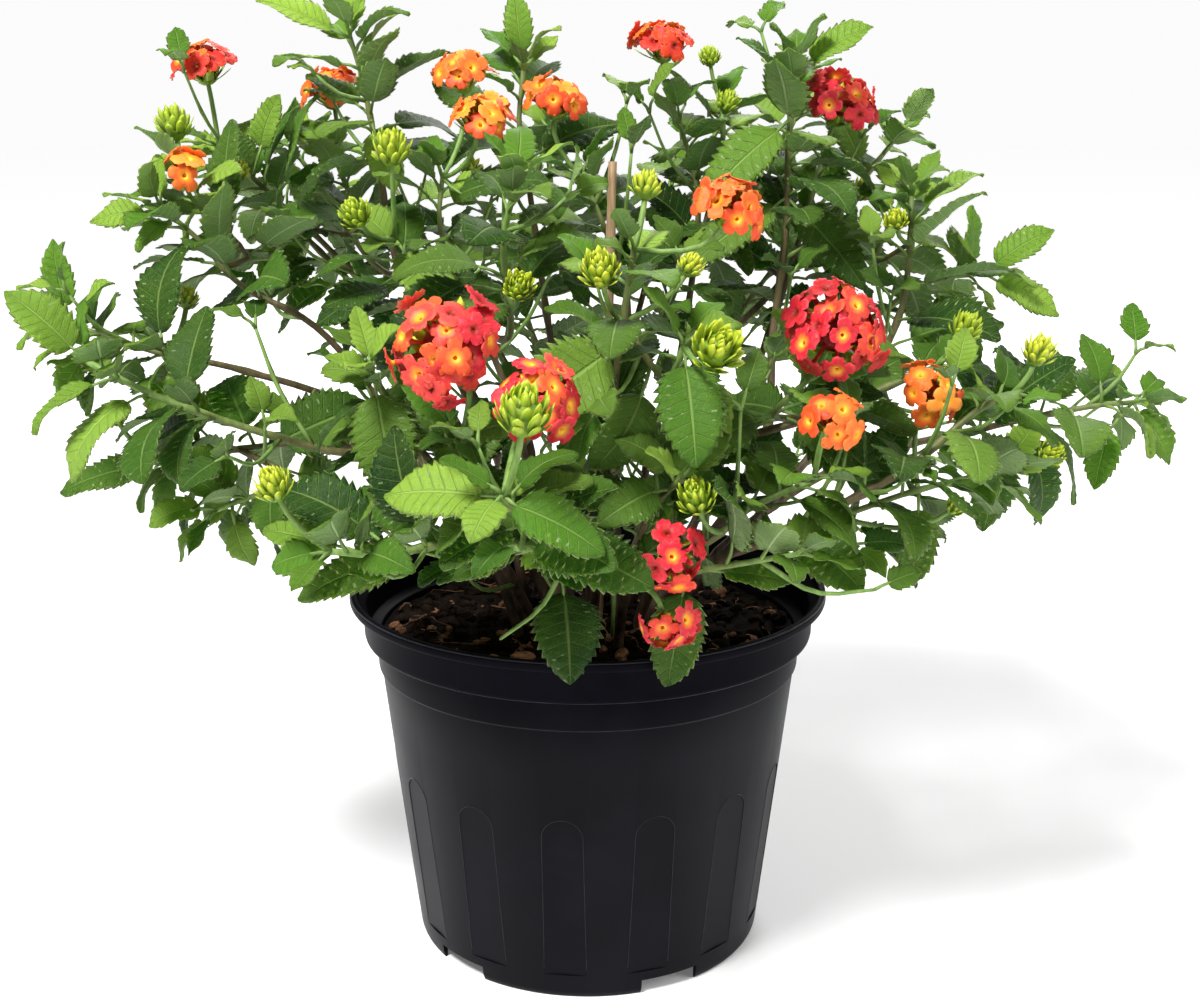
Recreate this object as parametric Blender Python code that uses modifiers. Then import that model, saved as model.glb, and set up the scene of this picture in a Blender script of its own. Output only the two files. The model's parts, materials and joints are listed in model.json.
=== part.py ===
"""A lantana in its nursery pot, one closed solid for each piece.

Units are metres and +Z is up. The viewer stands on the -Y side. The origin is the middle of the pot's
foot, on the surface that the pot stands on. Routes and places are tabled in centimetres.
"""

import math
import random

import bmesh
import bpy
import numpy as np
from mathutils import Matrix, Vector
from mathutils.bvhtree import BVHTree

CM = 0.01
CLEARANCE = 0.0003
TOUCH = 0.0000004

# Pot, in metres
POT_HEIGHT = 0.1445
RIM_RADIUS = 0.095
RIM_LIP_WIDTH = 0.0032
SKIRT_RADIUS = 0.0900
SKIRT_BOTTOM = 0.1271
WAIST_RADIUS = 0.0845
STEP_HEIGHT = 0.1143
STEP_RADIUS = 0.0832
FOOT_RADIUS = 0.070
WALL = 0.0016
FLOOR_UNDERSIDE = 0.0065
CENTRE_FOOT_RADIUS = 0.018
POT_STEPS = 32
PANEL_COUNT = 14
PANEL_TURN = math.radians(-6.7)
PANEL_WIDTH = 0.0155
PANEL_TOP = 0.0775
PANEL_DEPTH = 0.0006
NOTCH_COUNT = 5
NOTCH_TURN = math.radians(-45)
NOTCH_WIDTH = 0.024
NOTCH_HEIGHT = 0.0060
NOTCH_CUT = 0.012
DRAIN_SIZE = (0.014, 0.007, 0.008)
DRAIN_RADIUS = 0.056

# Soil, in metres
SOIL_HEIGHT = 0.127
SOIL_STEPS = 24
SOIL_RINGS = (0.0, 0.030, 0.052, 0.070)
SOIL_LUMP = 0.0022
HOLE_DEPTH = 0.024
HOLE_SIDES = 6
HOLE_RADIUS = 0.0033

# Stems, in metres
STEM_SAMPLE = 0.006
NODE_SAMPLES = 5
PEDUNCLE_SAMPLES = 5
STEM_RADIUS_BASE = 0.0023
STEM_RADIUS_TIP = 0.0011
SIDE_RADIUS_BASE = 0.0016
PEDUNCLE_RADIUS = 0.0009
ROOT_RISE = 0.004
CHILD_SINK = 0.0009
NUDGE = 0.00025
JOIN_ATTEMPTS = 8
SPREAD_MARGIN = 0.0018
SPREAD_ROUNDS = 70

# Leafy stems: the hole in the soil (x, y), the points that the stem runs through, and its side shoots,
# which leave from the stem's node nearest to their first point. Centimetres.
STEMS = {
    "left_long": dict(
        hole=(-2.6, -0.7),
        main=[(-5, -0.8, 17.5), (-9.1, -1, 21.7), (-12.9, -2, 23.4), (-16, -3, 24.3), (-19, -3, 25.3)],
        sides=[[(-8.7, -4, 20.6), (-11.3, -5, 21.5), (-15, -6, 23.1), (-17.5, -6, 24.4)]]),
    "left_low": dict(
        hole=(-2.7, -2.1),
        main=[(-4.2, -1.6, 17.2), (-6.8, -0.9, 19.8), (-9.9, -2, 20.8), (-14.5, -3, 20.4), (-16, -3, 20.1)],
        sides=[[(-11.2, -4, 19.7), (-13.4, -5.5, 18.9)]]),
    "front_left": dict(
        hole=(-1.2, -3.2),
        main=[(-1, -6, 15.8), (-0.9, -9, 18.1), (-2, -13, 20.5), (-2.4, -15, 21.8)],
        sides=[[(-0.6, -9.4, 18.3), (-2.6, -12, 19.4)],
               [(-3.3, -8, 18.6), (-5.2, -10, 18.8), (-6.7, -11, 18.8), (-8.2, -12, 19.2)]]),
    "left_middle": dict(
        hole=(-2.9, 0.8),
        main=[(-5.5, 0.6, 17.5), (-9.9, 0, 24.2), (-13.2, 0, 26.3), (-14.7, 0, 28), (-16.0, -0.4, 29.3)],
        sides=[[(-13.2, 1, 27.4), (-14.6, 1, 29.0), (-15.3, 1, 30.4)]]),
    "left_high": dict(
        hole=(-1.8, 2.3),
        main=[(-4.5, 3.4, 18.5), (-7.7, 4, 24), (-10.6, 5, 27.2), (-13.1, 5, 29.6), (-15.0, 5, 31.4)],
        sides=[[(-9.6, 6, 28.0), (-10.4, 6, 30.8)]]),
    "left_top": dict(
        hole=(-1.2, 1.1),
        main=[(-3, 2.2, 17.5), (-6.3, 3, 24.2), (-7.7, 3, 27), (-8.3, 3, 31.2), (-8.8, 3, 34.1),
              (-9.2, 3, 35.6)],
        sides=[[(-6.9, 0.6, 26.2), (-7.2, -1.0, 28.2)]]),
    "centre_left": dict(
        hole=(-0.7, -0.3),
        main=[(-2, -0.5, 18), (-3.4, 0, 23), (-4.8, 0, 25.8), (-5.6, 0, 28.6), (-5.5, 0.3, 30.4)],
        sides=[[(-2.8, -3.6, 25.0), (-2.9, -5.2, 28.3), (-2.4, -5.8, 30.6)]]),
    "centre_top": dict(
        hole=(0.1, 2.1),
        main=[(-0.6, 3, 18), (-1.6, 4, 24), (-2.3, 4, 29.4), (-2.7, 4, 32.1), (-2.5, 4, 34.4)],
        sides=[]),
    "centre_short": dict(
        hole=(1.1, 1.3),
        main=[(1.2, 2.6, 20.5), (1.6, 3, 25.4), (0.8, 3, 28), (-0.2, 3, 30.3)],
        sides=[[(2.9, 2.2, 24.5), (3.6, 1.8, 27.0)]]),
    "centre_tall": dict(
        hole=(1.7, 2.5),
        main=[(3, 4, 18), (4.2, 5, 25.1), (4.5, 5, 29.4), (3.7, 5, 32.4)],
        sides=[[(5.0, 6.8, 28.4), (5.6, 7, 31.4), (5.6, 7.4, 33.0)]]),
    "right_tall": dict(
        hole=(2.5, 0.2),
        main=[(4.6, 0.5, 15.8), (7, 1, 19.7), (7.4, 2, 24.3), (7.8, 2, 28.2), (7.8, 2, 31.5), (8, 2, 34.4)],
        sides=[]),
    "right_flower": dict(
        hole=(2.8, 1.7),
        main=[(5, 3, 17.5), (7.4, 4.4, 23.6), (8.7, 4.4, 28.0), (9.4, 4.2, 30.8)],
        sides=[[(11.3, 5, 24.2), (14, 5, 25.9), (16.3, 5, 26.3)]]),
    "right_upper": dict(
        hole=(3.1, -0.7),
        main=[(6.5, -0.4, 17), (10.6, 1, 21.7), (12.2, 1, 25), (12.5, 1, 27.5), (12.5, 1, 29.7)],
        sides=[[(11.6, 3.4, 27.0), (12.6, 4, 29.2)]]),
    "right_far": dict(
        hole=(3.4, 0.9),
        main=[(6.5, 1.6, 16.4), (10.8, 2, 19.0), (16.2, 0.5, 20.8), (19.4, -0.8, 21.8), (21.0, -1, 22)],
        sides=[]),
    "right_front": dict(
        hole=(2.7, -2.0),
        main=[(4.4, -5, 16.6), (7.4, -7.6, 18.9), (10.8, -8, 20.9), (13.1, -8, 23), (14.4, -8, 23.7)],
        sides=[[(5.9, -4.2, 17.0), (9.7, -6, 19.0), (11.8, -6.2, 19.8), (14.7, -6.4, 20.6)]]),
    "front_right": dict(
        hole=(1.2, -2.8),
        main=[(1.5, -5.5, 16.2), (2.2, -8, 19.5), (3.2, -10.6, 21.3)],
        sides=[[(2.6, -8, 17.2), (4.6, -10, 18.1), (7, -10.6, 18.7)],
               [(3.9, -9, 18.6), (5.5, -9.6, 20.0), (7.6, -10, 21.1)],
               [(0.6, -7, 16.6), (1.5, -9.4, 17.4)]]),
    "front_centre": dict(
        hole=(0.2, -1.5),
        main=[(0.5, -3.2, 17.9), (0.9, -7.4, 23.0), (1.2, -8.6, 25.9), (1.6, -9, 28.6)],
        sides=[[(2.6, -9.4, 24.4), (3.2, -10.2, 25.6)]]),
    "right_middle": dict(
        hole=(2.0, -0.9),
        main=[(4.2, -2.6, 19.8), (8.2, -4, 22.0), (11.2, -4.2, 23.3), (12.6, -4.2, 23.9)],
        sides=[[(6.6, -6.4, 22.6), (7.7, -7.8, 24.2)]]),
    "left_front": dict(
        hole=(-2.0, -1.5),
        main=[(-4, -4, 18), (-6.0, -6.5, 21.6), (-7.2, -8, 24.3)],
        sides=[[(-4.8, -7.0, 20.2), (-4.2, -9.4, 22.2)]]),
}

# Stems on the far side, which the photograph hides: they are fanned out by a rule.
BACK_STEM_COUNT = 6
BACK_FAN = (math.radians(22), math.radians(158))
BACK_REACH = (11.5, 16.0)
BACK_HEIGHT = (25.0, 32.5)

# Flower heads: stem, centre, the way the head faces, radius, florets, colour. Centimetres.
FLOWER_HEADS = {
    "flower_left_high": ("left_high", (-15.4, 5, 34.6), (-0.1, -0.25, 1), 1.45, 7, "scarlet"),
    "flower_left_inner": ("left_high", (-10.5, 6, 33.6), (-0.1, -0.35, 1), 1.4, 7, "orange"),
    "flower_centre_back": ("centre_left", (-4.8, 1.6, 34.2), (-0.1, -0.2, 1), 1.3, 5, "orange"),
    "flower_centre_front": ("centre_left", (-3.9, -1.8, 32.6), (0.2, -0.4, 1), 1.3, 5, "orange"),
    "flower_centre_dome": ("centre_short", (-1.3, 3, 33.2), (0.1, -0.2, 1), 1.35, 7, "orange"),
    "flower_tall": ("centre_tall", (3.0, 5, 35.4), (0, -0.3, 1), 1.35, 7, "scarlet"),
    "flower_right_high": ("right_flower", (10.1, 4, 33.1), (0.25, -0.45, 0.85), 1.75, 8, "crimson"),
    "flower_front_high": ("front_centre", (4.6, -10.4, 30.0), (0.3, -0.45, 0.8), 1.3, 5, "orange"),
    "flower_front_large": ("left_front", (-4.0, -12, 25.7), (-0.3, -0.85, 0.45), 2.0, 9, "salmon"),
    "flower_front_small": ("front_left", (-1.8, -12.6, 24.6), (0.25, -0.8, 0.5), 1.3, 5, "salmon"),
    "flower_right_large": ("right_middle", (8.3, -9.4, 26.0), (0.05, -0.85, 0.5), 1.9, 9, "crimson"),
    "flower_right_young": ("front_right", (7.8, -12.2, 23.6), (0.1, -0.8, 0.55), 0.95, 5, "orange"),
    "flower_right_outer": ("right_front", (11.9, -7.6, 23.6), (0.2, -0.7, 0.65), 1.1, 5, "orange"),
    "flower_low_upper": ("front_right", (2.9, -11.4, 18.7), (0.5, -0.75, -0.1), 1.15, 7, "crimson"),
    "flower_low_lower": ("front_right", (2.7, -11.2, 16.5), (0.2, -0.7, -0.6), 0.95, 5, "crimson"),
    "flower_left_tiny": ("left_middle", (-15.0, -1.0, 30.9), (0.2, -0.6, 0.7), 0.7, 3, "orange"),
}

# Bud heads: stem, centre, radius. Centimetres.
BUD_HEADS = [
    ("left_middle", (-15.9, 1.6, 32.4), 0.95), ("left_middle", (-13.7, 2.2, 30.6), 0.60),
    ("left_top", (-7.1, -2.2, 31.6), 0.95), ("left_top", (-8.4, -2.8, 29.3), 0.80),
    ("left_long", (-20.4, -3, 26.0), 0.75), ("left_long", (-15.3, -0.4, 25.9), 0.60),
    ("left_low", (-17.4, -3.6, 22.0), 0.60), ("front_left", (-9.8, -12.8, 21.6), 0.80),
    ("centre_left", (-4.6, 2.6, 30.6), 0.60), ("centre_short", (0.2, 4.4, 31.0), 0.60),
    ("centre_tall", (5.0, 7, 35.0), 0.60), ("centre_tall", (5.6, 4.4, 33.2), 0.65),
    ("right_flower", (10.9, 3.2, 29.8), 0.65), ("front_centre", (0.5, -11.4, 28.2), 0.85),
    ("front_centre", (4.1, -12.6, 25.9), 1.05), ("front_left", (-1.7, -16.6, 24.7), 1.10),
    ("centre_left", (-2.2, -8.2, 27.3), 0.70), ("front_centre", (2.0, -8.2, 30.6), 0.70),
    ("front_centre", (3.5, -8.2, 28.0), 0.60), ("right_middle", (13.6, -4.6, 25.4), 0.80),
    ("right_far", (17.6, -2.4, 20.3), 0.70), ("right_front", (12.9, -7.6, 19.6), 0.50),
    ("front_right", (3.6, -11.6, 20.9), 0.85), ("right_upper", (11.6, -0.6, 28.9), 0.60),
    ("right_front", (15.2, -8.2, 25.2), 0.75),
]

# Leaves that the photograph shows well: stem, base and tip of the blade, width. Centimetres.
FEATURE_LEAVES = [
    ("left_low", (-16.0, -3.0, 20.6), (-19.0, -3.4, 19.8), 1.7),
    ("left_long", (-16.6, -6.2, 24.6), (-18.6, -6.6, 26.6), 1.9),
    ("left_long", (-19.0, -3.2, 25.6), (-19.3, -3.4, 28.0), 1.2),
    ("left_top", (-9.4, 3.0, 35.9), (-12.2, 2.6, 37.0), 1.3),
    ("left_top", (-8.6, 3.0, 33.8), (-7.9, 2.2, 31.6), 1.5),
    ("left_top", (-10.4, -0.6, 29.4), (-8.6, -2.0, 27.2), 2.3),
    ("left_top", (-11.2, -1.4, 27.0), (-10.6, -2.4, 24.9), 2.1),
    ("left_front", (-11.0, -6.4, 25.0), (-10.4, -7.2, 21.4), 2.4),
    ("left_high", (-13.2, 4.6, 31.4), (-12.2, 4.2, 33.4), 1.4),
    ("centre_top", (-2.6, 4.0, 34.6), (-2.9, 4.2, 37.0), 1.2),
    ("centre_left", (-4.4, -1.6, 29.6), (-1.0, -2.6, 30.2), 2.0),
    ("centre_left", (-4.8, -4.6, 27.0), (-7.4, -5.4, 25.0), 2.0),
    ("right_tall", (7.6, 1.6, 33.4), (4.6, 0.8, 30.4), 2.2),
    ("right_tall", (8.2, 2.0, 34.4), (10.4, 1.6, 35.6), 1.6),
    ("right_tall", (7.6, 1.6, 31.0), (4.4, 0.6, 28.8), 2.0),
    ("right_tall", (8.2, 1.4, 30.4), (10.6, 0.4, 27.4), 2.1),
    ("front_centre", (5.9, -7.2, 27.6), (6.2, -8.6, 24.6), 2.4),
    ("right_flower", (16.4, 5.0, 26.6), (18.6, 4.8, 28.0), 1.6),
    ("right_flower", (16.3, 5.0, 26.2), (18.9, 4.8, 24.8), 1.8),
    ("right_far", (21.2, -1.0, 21.6), (22.6, -1.0, 19.6), 1.6),
    ("right_far", (20.0, -1.4, 21.0), (19.4, -1.8, 18.8), 1.4),
    ("right_far", (15.0, -0.8, 21.0), (17.6, -2.2, 23.6), 2.1),
    ("right_front", (15.0, -8.0, 24.0), (17.8, -8.4, 22.4), 2.0),
    ("right_front", (12.6, -7.4, 20.0), (12.7, -8.2, 16.9), 1.9),
    ("right_front", (11.7, -7.6, 20.2), (11.0, -8.4, 17.0), 1.9),
    ("right_front", (7.6, -7.6, 18.4), (9.4, -9.2, 16.9), 2.2),
    ("front_right", (5.4, -7.6, 16.6), (5.0, -8.0, 13.4), 2.0),
    ("front_left", (-1.1, -8.6, 17.4), (-0.8, -10.4, 14.6), 2.6),
    ("front_left", (-4.4, -9.2, 18.4), (-8.0, -9.6, 16.9), 1.8),
    ("front_left", (-2.6, -15.2, 21.6), (-5.6, -14.6, 21.4), 2.1),
    ("front_left", (-2.1, -15.4, 21.6), (0.6, -15.6, 20.2), 2.0),
    ("front_left", (-2.4, -15.6, 22.0), (-3.4, -17.0, 23.8), 1.4),
    ("front_right", (3.9, -10.8, 21.5), (6.0, -12.0, 20.9), 1.7),
    ("left_middle", (-12.6, 0.2, 26.4), (-15.4, 0.6, 27.2), 1.7),
    ("left_middle", (-16.0, -0.6, 29.6), (-18.0, -0.8, 29.2), 1.3),
]

# Leaf shapes. Lengths in metres, angles in degrees.
TIP_LEAF_LENGTH = 0.017
NODE_LEAF_LENGTHS = (0.026, 0.033, 0.037, 0.036, 0.033, 0.030)
LEAF_WIDTH_RATIO = 0.56
LEAF_RIB_HALF = 0.00068
LEAF_TEETH = 2
LARGE_LEAF_TEETH = 3
SMALL_LEAF = 0.026
LARGE_LEAF = 0.034
TOOTH_OUT = 1.10
TOOTH_IN = 0.84
BLADE_SHAPE_BASE = 0.50
BLADE_SHAPE_TIP = 0.80
BLADE_FOLD = 14
LEAF_MARGIN = 0.0010
LEAF_LIMIT = 104
LEAF_FLOOR = 0.146

# Heads
BUD_POINTS = 6
CUP_SIDES = 5
FLORET_LOBES = 4
SPARSE_FLORETS = 5
SPARSE_HEAD_SPREAD = math.radians(70)
WIDE_HEAD_SPREAD = math.radians(84)

COLOURS = {
    "pot": ((0.012, 0.012, 0.016), 0.38),
    "soil": ((0.030, 0.020, 0.014), 0.95),
    "bark": ((0.210, 0.105, 0.055), 0.90),
    "cane": ((0.420, 0.270, 0.130), 0.80),
    "leaf": ((0.075, 0.190, 0.035), 0.55),
    "scarlet": ((0.800, 0.085, 0.020), 0.60),
    "crimson": ((0.700, 0.020, 0.035), 0.60),
    "salmon": ((0.800, 0.060, 0.040), 0.60),
    "orange": ((0.900, 0.220, 0.020), 0.60),
}

# Bark chips on the soil: centre (x, y), length, width, thickness, turn. Centimetres and degrees.
BARK_CHIPS = [
    ((0.3, -6.9), 2.1, 1.3, 0.6, 12), ((-3.9, -5.6), 1.3, 0.9, 0.5, -20),
    ((-2.4, -4.9), 1.2, 0.8, 0.5, 35), ((-5.6, -5.0), 1.1, 0.8, 0.4, 60),
    ((2.7, -6.4), 1.3, 0.9, 0.5, -35),
]

# The cut cane that stands behind the middle: hole, top, radius. Centimetres.
CANE_HOLE = (0.3, 0.6)
CANE_TOP = (1.0, 1.0, 31.0)
CANE_RADIUS = 0.19


def cm(point):
    """A tabled place in centimetres as a vector in metres."""
    return Vector(point) * CM


def fade(x):
    return x * x * (3 - 2 * x)


def soil_height(x, y):
    """Height of the lumpy soil, level round each bark chip and where the stems come up."""
    lumps = (math.sin(95 * x + 1.3) * math.cos(81 * y - 0.4)
             + 0.6 * math.sin(163 * y + 2.1) * math.cos(140 * x + 0.7))
    level = 1.0
    for (chip_x, chip_y), length, *_ in BARK_CHIPS:
        gap = math.hypot(x - chip_x * CM, y - chip_y * CM) - 0.6 * length * CM
        level = min(level, fade(min(max(gap / 0.008, 0.0), 1.0)))
    gap = math.hypot(x, y) - 0.038
    level = min(level, 0.25 + 0.75 * fade(min(max(gap / 0.02, 0.0), 1.0)))
    return SOIL_HEIGHT + SOIL_LUMP * 0.5 * lumps * level


class Run:
    """One length of stem: a leafy stem, a side shoot or the stalk of a head."""

    def __init__(self, stem, kind, samples, radii, parent=None, parent_sample=0, root=None):
        self.stem = stem
        self.kind = kind
        self.samples = samples
        self.radii = radii
        self.parent = parent
        self.parent_sample = parent_sample
        self.root = root

    def node_step(self):
        return PEDUNCLE_SAMPLES if self.kind == "stalk" else NODE_SAMPLES

    def node_indices(self):
        """Samples that are nodes: every few, and always the last."""
        last = len(self.samples) - 1
        step = self.node_step()
        indices = list(range(0, last, step))
        if len(indices) > 1 and last - indices[-1] < step / 2:
            indices.pop()
        return indices + [last]

    def radius_at(self, index):
        share = index / max(len(self.samples) - 1, 1)
        return self.radii[0] + (self.radii[1] - self.radii[0]) * share

    def corners(self):
        """Points and radii of the jointed line through the nodes, with the root in the soil."""
        points = [self.samples[i].copy() for i in self.node_indices()]
        radii = [self.radius_at(i) for i in self.node_indices()]
        if self.root is not None:
            points.insert(0, self.root.copy())
            radii.insert(0, self.radii[0])
        return points, radii


def smooth_line(points, step):
    """Points about one step apart along a smooth curve through the given ones."""
    ghosts = [points[0] * 2 - points[1]] + points + [points[-1] * 2 - points[-2]]
    dense = []
    for i in range(1, len(ghosts) - 2):
        a, b, c, d = ghosts[i - 1:i + 3]
        for k in range(12):
            t = k / 12
            dense.append(0.5 * ((2 * b) + (c - a) * t + (2 * a - 5 * b + 4 * c - d) * t * t
                                + (3 * b - a - 3 * c + d) * t * t * t))
    dense.append(points[-1].copy())
    lengths = [0.0]
    for a, b in zip(dense, dense[1:]):
        lengths.append(lengths[-1] + (b - a).length)
    count = max(2, round(lengths[-1] / step))
    samples = []
    j = 0
    for i in range(count + 1):
        target = lengths[-1] * i / count
        while j < len(lengths) - 2 and lengths[j + 1] < target:
            j += 1
        share = (target - lengths[j]) / max(lengths[j + 1] - lengths[j], 1e-9)
        samples.append(dense[j].lerp(dense[j + 1], min(max(share, 0.0), 1.0)))
    return samples


def back_stems():
    """Routes of the far stems, fanned out in plan with a little spread in reach and height."""
    rng = random.Random(11)
    stems = {}
    for i in range(BACK_STEM_COUNT):
        share = i / (BACK_STEM_COUNT - 1)
        angle = BACK_FAN[0] + (BACK_FAN[1] - BACK_FAN[0]) * share + rng.uniform(-0.06, 0.06)
        reach = rng.uniform(*BACK_REACH)
        height = rng.uniform(*BACK_HEIGHT) - 2.5 * (i % 2)
        way = (math.cos(angle), math.sin(angle))
        hole = (2.9 * way[0], 3.4 + 0.7 * (way[1] - 0.5) - 0.9 * abs(way[0]))
        low = 17.2
        main = []
        for part in (0.32, 0.62, 0.86, 1.0):
            rise = low + (height - low) * part ** 1.1
            main.append((way[0] * reach * part, 3.0 + way[1] * (reach - 3.0) * part, rise))
        turned = (math.cos(angle + 0.42), math.sin(angle + 0.42))
        side = []
        for part, lift in ((0.66, 1.2), (0.82, 3.0), (0.94, 4.4)):
            base = low + (height - low) * part
            side.append((turned[0] * reach * part, 3.0 + turned[1] * (reach - 3.0) * part, base + lift * 0.4))
        stems[f"back_{i + 1}"] = dict(hole=hole, main=main, sides=[side] if i % 2 == 0 else [])
    return stems


def grow_stems():
    """Leafy stems and side shoots as runs."""
    runs = []
    for name, plan in {**STEMS, **back_stems()}.items():
        x, y = plan["hole"][0] * CM, plan["hole"][1] * CM
        root = Vector((x, y, SOIL_HEIGHT - HOLE_DEPTH + 0.002))
        foot = Vector((x, y, SOIL_HEIGHT + ROOT_RISE))
        samples = smooth_line([foot] + [cm(p) for p in plan["main"]], STEM_SAMPLE)
        main = Run(name, "stem", samples, (STEM_RADIUS_BASE, STEM_RADIUS_TIP), root=root)
        runs.append(main)
        for side in plan["sides"]:
            first = cm(side[0])
            start = min(main.node_indices()[1:-1], key=lambda i: (main.samples[i] - first).length)
            line = smooth_line([main.samples[start]] + [cm(p) for p in side], STEM_SAMPLE)
            radii = (min(SIDE_RADIUS_BASE, main.radius_at(start)), STEM_RADIUS_TIP)
            runs.append(Run(name, "side", line, radii, parent=main, parent_sample=start))
    return runs


class Head:
    """A flower head or a bud head on its stalk."""

    def __init__(self, name, stem, centre, axis, radius, florets=0, colour=None):
        self.name = name
        self.stem = stem
        self.centre = centre
        self.axis = axis
        self.radius = radius
        self.florets = florets
        self.colour = colour
        self.stalk = None


def stalk_length(head):
    return 0.034 if head.florets else 0.026


def add_stalk(runs, head):
    """Curve a stalk from the best placed node of the head's stem into the foot of the head."""
    best = None
    for run in [r for r in runs if r.stem == head.stem and r.kind != "stalk"]:
        for i in run.node_indices()[1:]:
            node = run.samples[i]
            gap = (node - head.centre).length
            cost = abs(gap - stalk_length(head)) + 1.5 * max(node.z - head.centre.z + 0.008, 0.0)
            if best is None or cost < best[0]:
                best = (cost, run, i)
    _, run, index = best
    node = run.samples[index]
    if head.axis is None:
        away = head.centre - node
        head.axis = (away.normalized() + Vector((0, 0, 0.8))).normalized()
    foot = head.centre - head.axis * head.radius * (0.50 if head.florets else 0.55)
    bend = foot - head.axis * (foot - node).length * 0.45
    count = max(3, round((foot - node).length / STEM_SAMPLE))
    samples = []
    for k in range(count + 1):
        t = k / count
        samples.append(node * (1 - t) ** 2 + bend * 2 * t * (1 - t) + foot * t * t)
    radii = (PEDUNCLE_RADIUS * 1.1, PEDUNCLE_RADIUS)
    head.stalk = Run(head.stem, "stalk", samples, radii, parent=run, parent_sample=index)
    head.stalk.head = head
    runs.append(head.stalk)


def grow_heads(runs):
    heads = []
    for name, (stem, centre, axis, radius, florets, colour) in FLOWER_HEADS.items():
        heads.append(Head(name, stem, cm(centre), Vector(axis).normalized(), radius * CM, florets, colour))
    for i, (stem, centre, radius) in enumerate(BUD_HEADS):
        heads.append(Head(f"bud_{i + 1}", stem, cm(centre), None, radius * CM))
    for head in heads:
        add_stalk(runs, head)
    return heads


def spread_apart(runs, heads):
    """Ease runs and heads apart until neighbours stand clear, bending each run smoothly."""
    starts = []
    places = []
    rooms = []
    groups = []
    total = 0
    for run in runs:
        starts.append(total)
        total += len(run.samples)
        for i, sample in enumerate(run.samples):
            places.append(sample[:])
            rooms.append(run.radius_at(i) + SPREAD_MARGIN)
            groups.append(run.stem)
    first_head = total
    owners = {id(run): start for run, start in zip(runs, starts)}
    for head in heads:
        places.append(head.centre[:])
        rooms.append(head.radius * 1.02 + 0.001)
        groups.append(head.stem if not head.florets else head.name)
    places = np.array(places)
    rooms = np.array(rooms)
    names = sorted(set(groups))
    groups = np.array([names.index(g) for g in groups])
    distances = np.linalg.norm(places[:, None, :] - places[None, :, :], axis=2)
    near = np.triu(distances < rooms[:, None] + rooms[None, :] + 0.02, 1)
    near &= groups[:, None] != groups[None, :]
    for k, head in enumerate(heads):
        start = owners[id(head.stalk)]
        near[start:start + len(head.stalk.samples), first_head + k] = False
        parent = owners[id(head.stalk.parent)] + head.stalk.parent_sample
        near[max(parent - 4, 0):parent + 5, first_head + k] = False
    first, second = np.nonzero(near)
    moves = np.zeros_like(places)
    weights = np.ones(len(places))
    for run, start in zip(runs, starts):
        if run.root is not None:
            weights[start:start + 2] = 0.0
            weights[start + 2:start + 5] = (0.25, 0.5, 0.75)
    for _ in range(SPREAD_ROUNDS):
        now = places + moves
        apart = now[second] - now[first]
        gap = np.linalg.norm(apart, axis=1)
        short = rooms[first] + rooms[second] - gap
        hit = short > 0
        push = apart[hit] / np.maximum(gap[hit], 1e-6)[:, None] * (0.30 * short[hit])[:, None]
        change = np.zeros_like(moves)
        np.add.at(change, first[hit], -push)
        np.add.at(change, second[hit], push)
        moves += np.clip(change, -0.004, 0.004)
        moves *= weights[:, None]
        for run, start in zip(runs, starts):
            end = start + len(run.samples)
            if run.parent is not None:
                moves[start] = moves[owners[id(run.parent)] + run.parent_sample]
            inner = moves[start:end].copy()
            inner[1:-1] = 0.5 * inner[1:-1] + 0.25 * (inner[:-2] + inner[2:])
            inner[-1] = 0.5 * inner[-1] + 0.5 * inner[-2]
            moves[start:end] = inner
        for k, head in enumerate(heads):
            end = owners[id(head.stalk)] + len(head.stalk.samples) - 1
            both = 0.5 * (moves[end] + moves[first_head + k])
            moves[end] = both
            moves[first_head + k] = both
    for run, start in zip(runs, starts):
        run.samples = [Vector(places[start + i] + moves[start + i]) for i in range(len(run.samples))]
    for k, head in enumerate(heads):
        head.centre = Vector(places[first_head + k] + moves[first_head + k])
        offset = head.stalk.samples[-1] - (head.centre - head.axis * head.radius
                                           * (0.50 if head.florets else 0.55))
        head.centre += offset


class Leaf:
    """A stalked, arched blade: where it grows, how it lies and how big it is."""

    def __init__(self, stem, node, base, way, face, length, width, droop, fold):
        self.stem = stem
        self.node = node
        self.base = base
        self.way = way
        self.face = face
        self.side = way.cross(face).normalized()
        self.length = length
        self.width = width
        self.droop = droop
        self.fold = fold

    def half_width(self, t):
        a, b = BLADE_SHAPE_BASE, BLADE_SHAPE_TIP
        peak = a / (a + b)
        shape = (max(t, 0.0) ** a) * (max(1 - t, 0.0) ** b) / (peak ** a * (1 - peak) ** b)
        return 0.5 * self.width * shape

    def spot(self, t, u, lift=0.0):
        """Point of the blade: t runs from base to tip, u from edge to edge, lift is off the face."""
        angle = self.droop * t
        reach = self.length / self.droop
        centre = self.base + self.way * (reach * math.sin(angle)) - self.face * (reach * (1 - math.cos(angle)))
        up = self.face * math.cos(angle) + self.way * math.sin(angle)
        across = abs(u) * self.half_width(t)
        sideways = self.side * math.copysign(across * math.cos(self.fold), u)
        return centre + sideways + up * (across * math.sin(self.fold) + lift)


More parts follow.
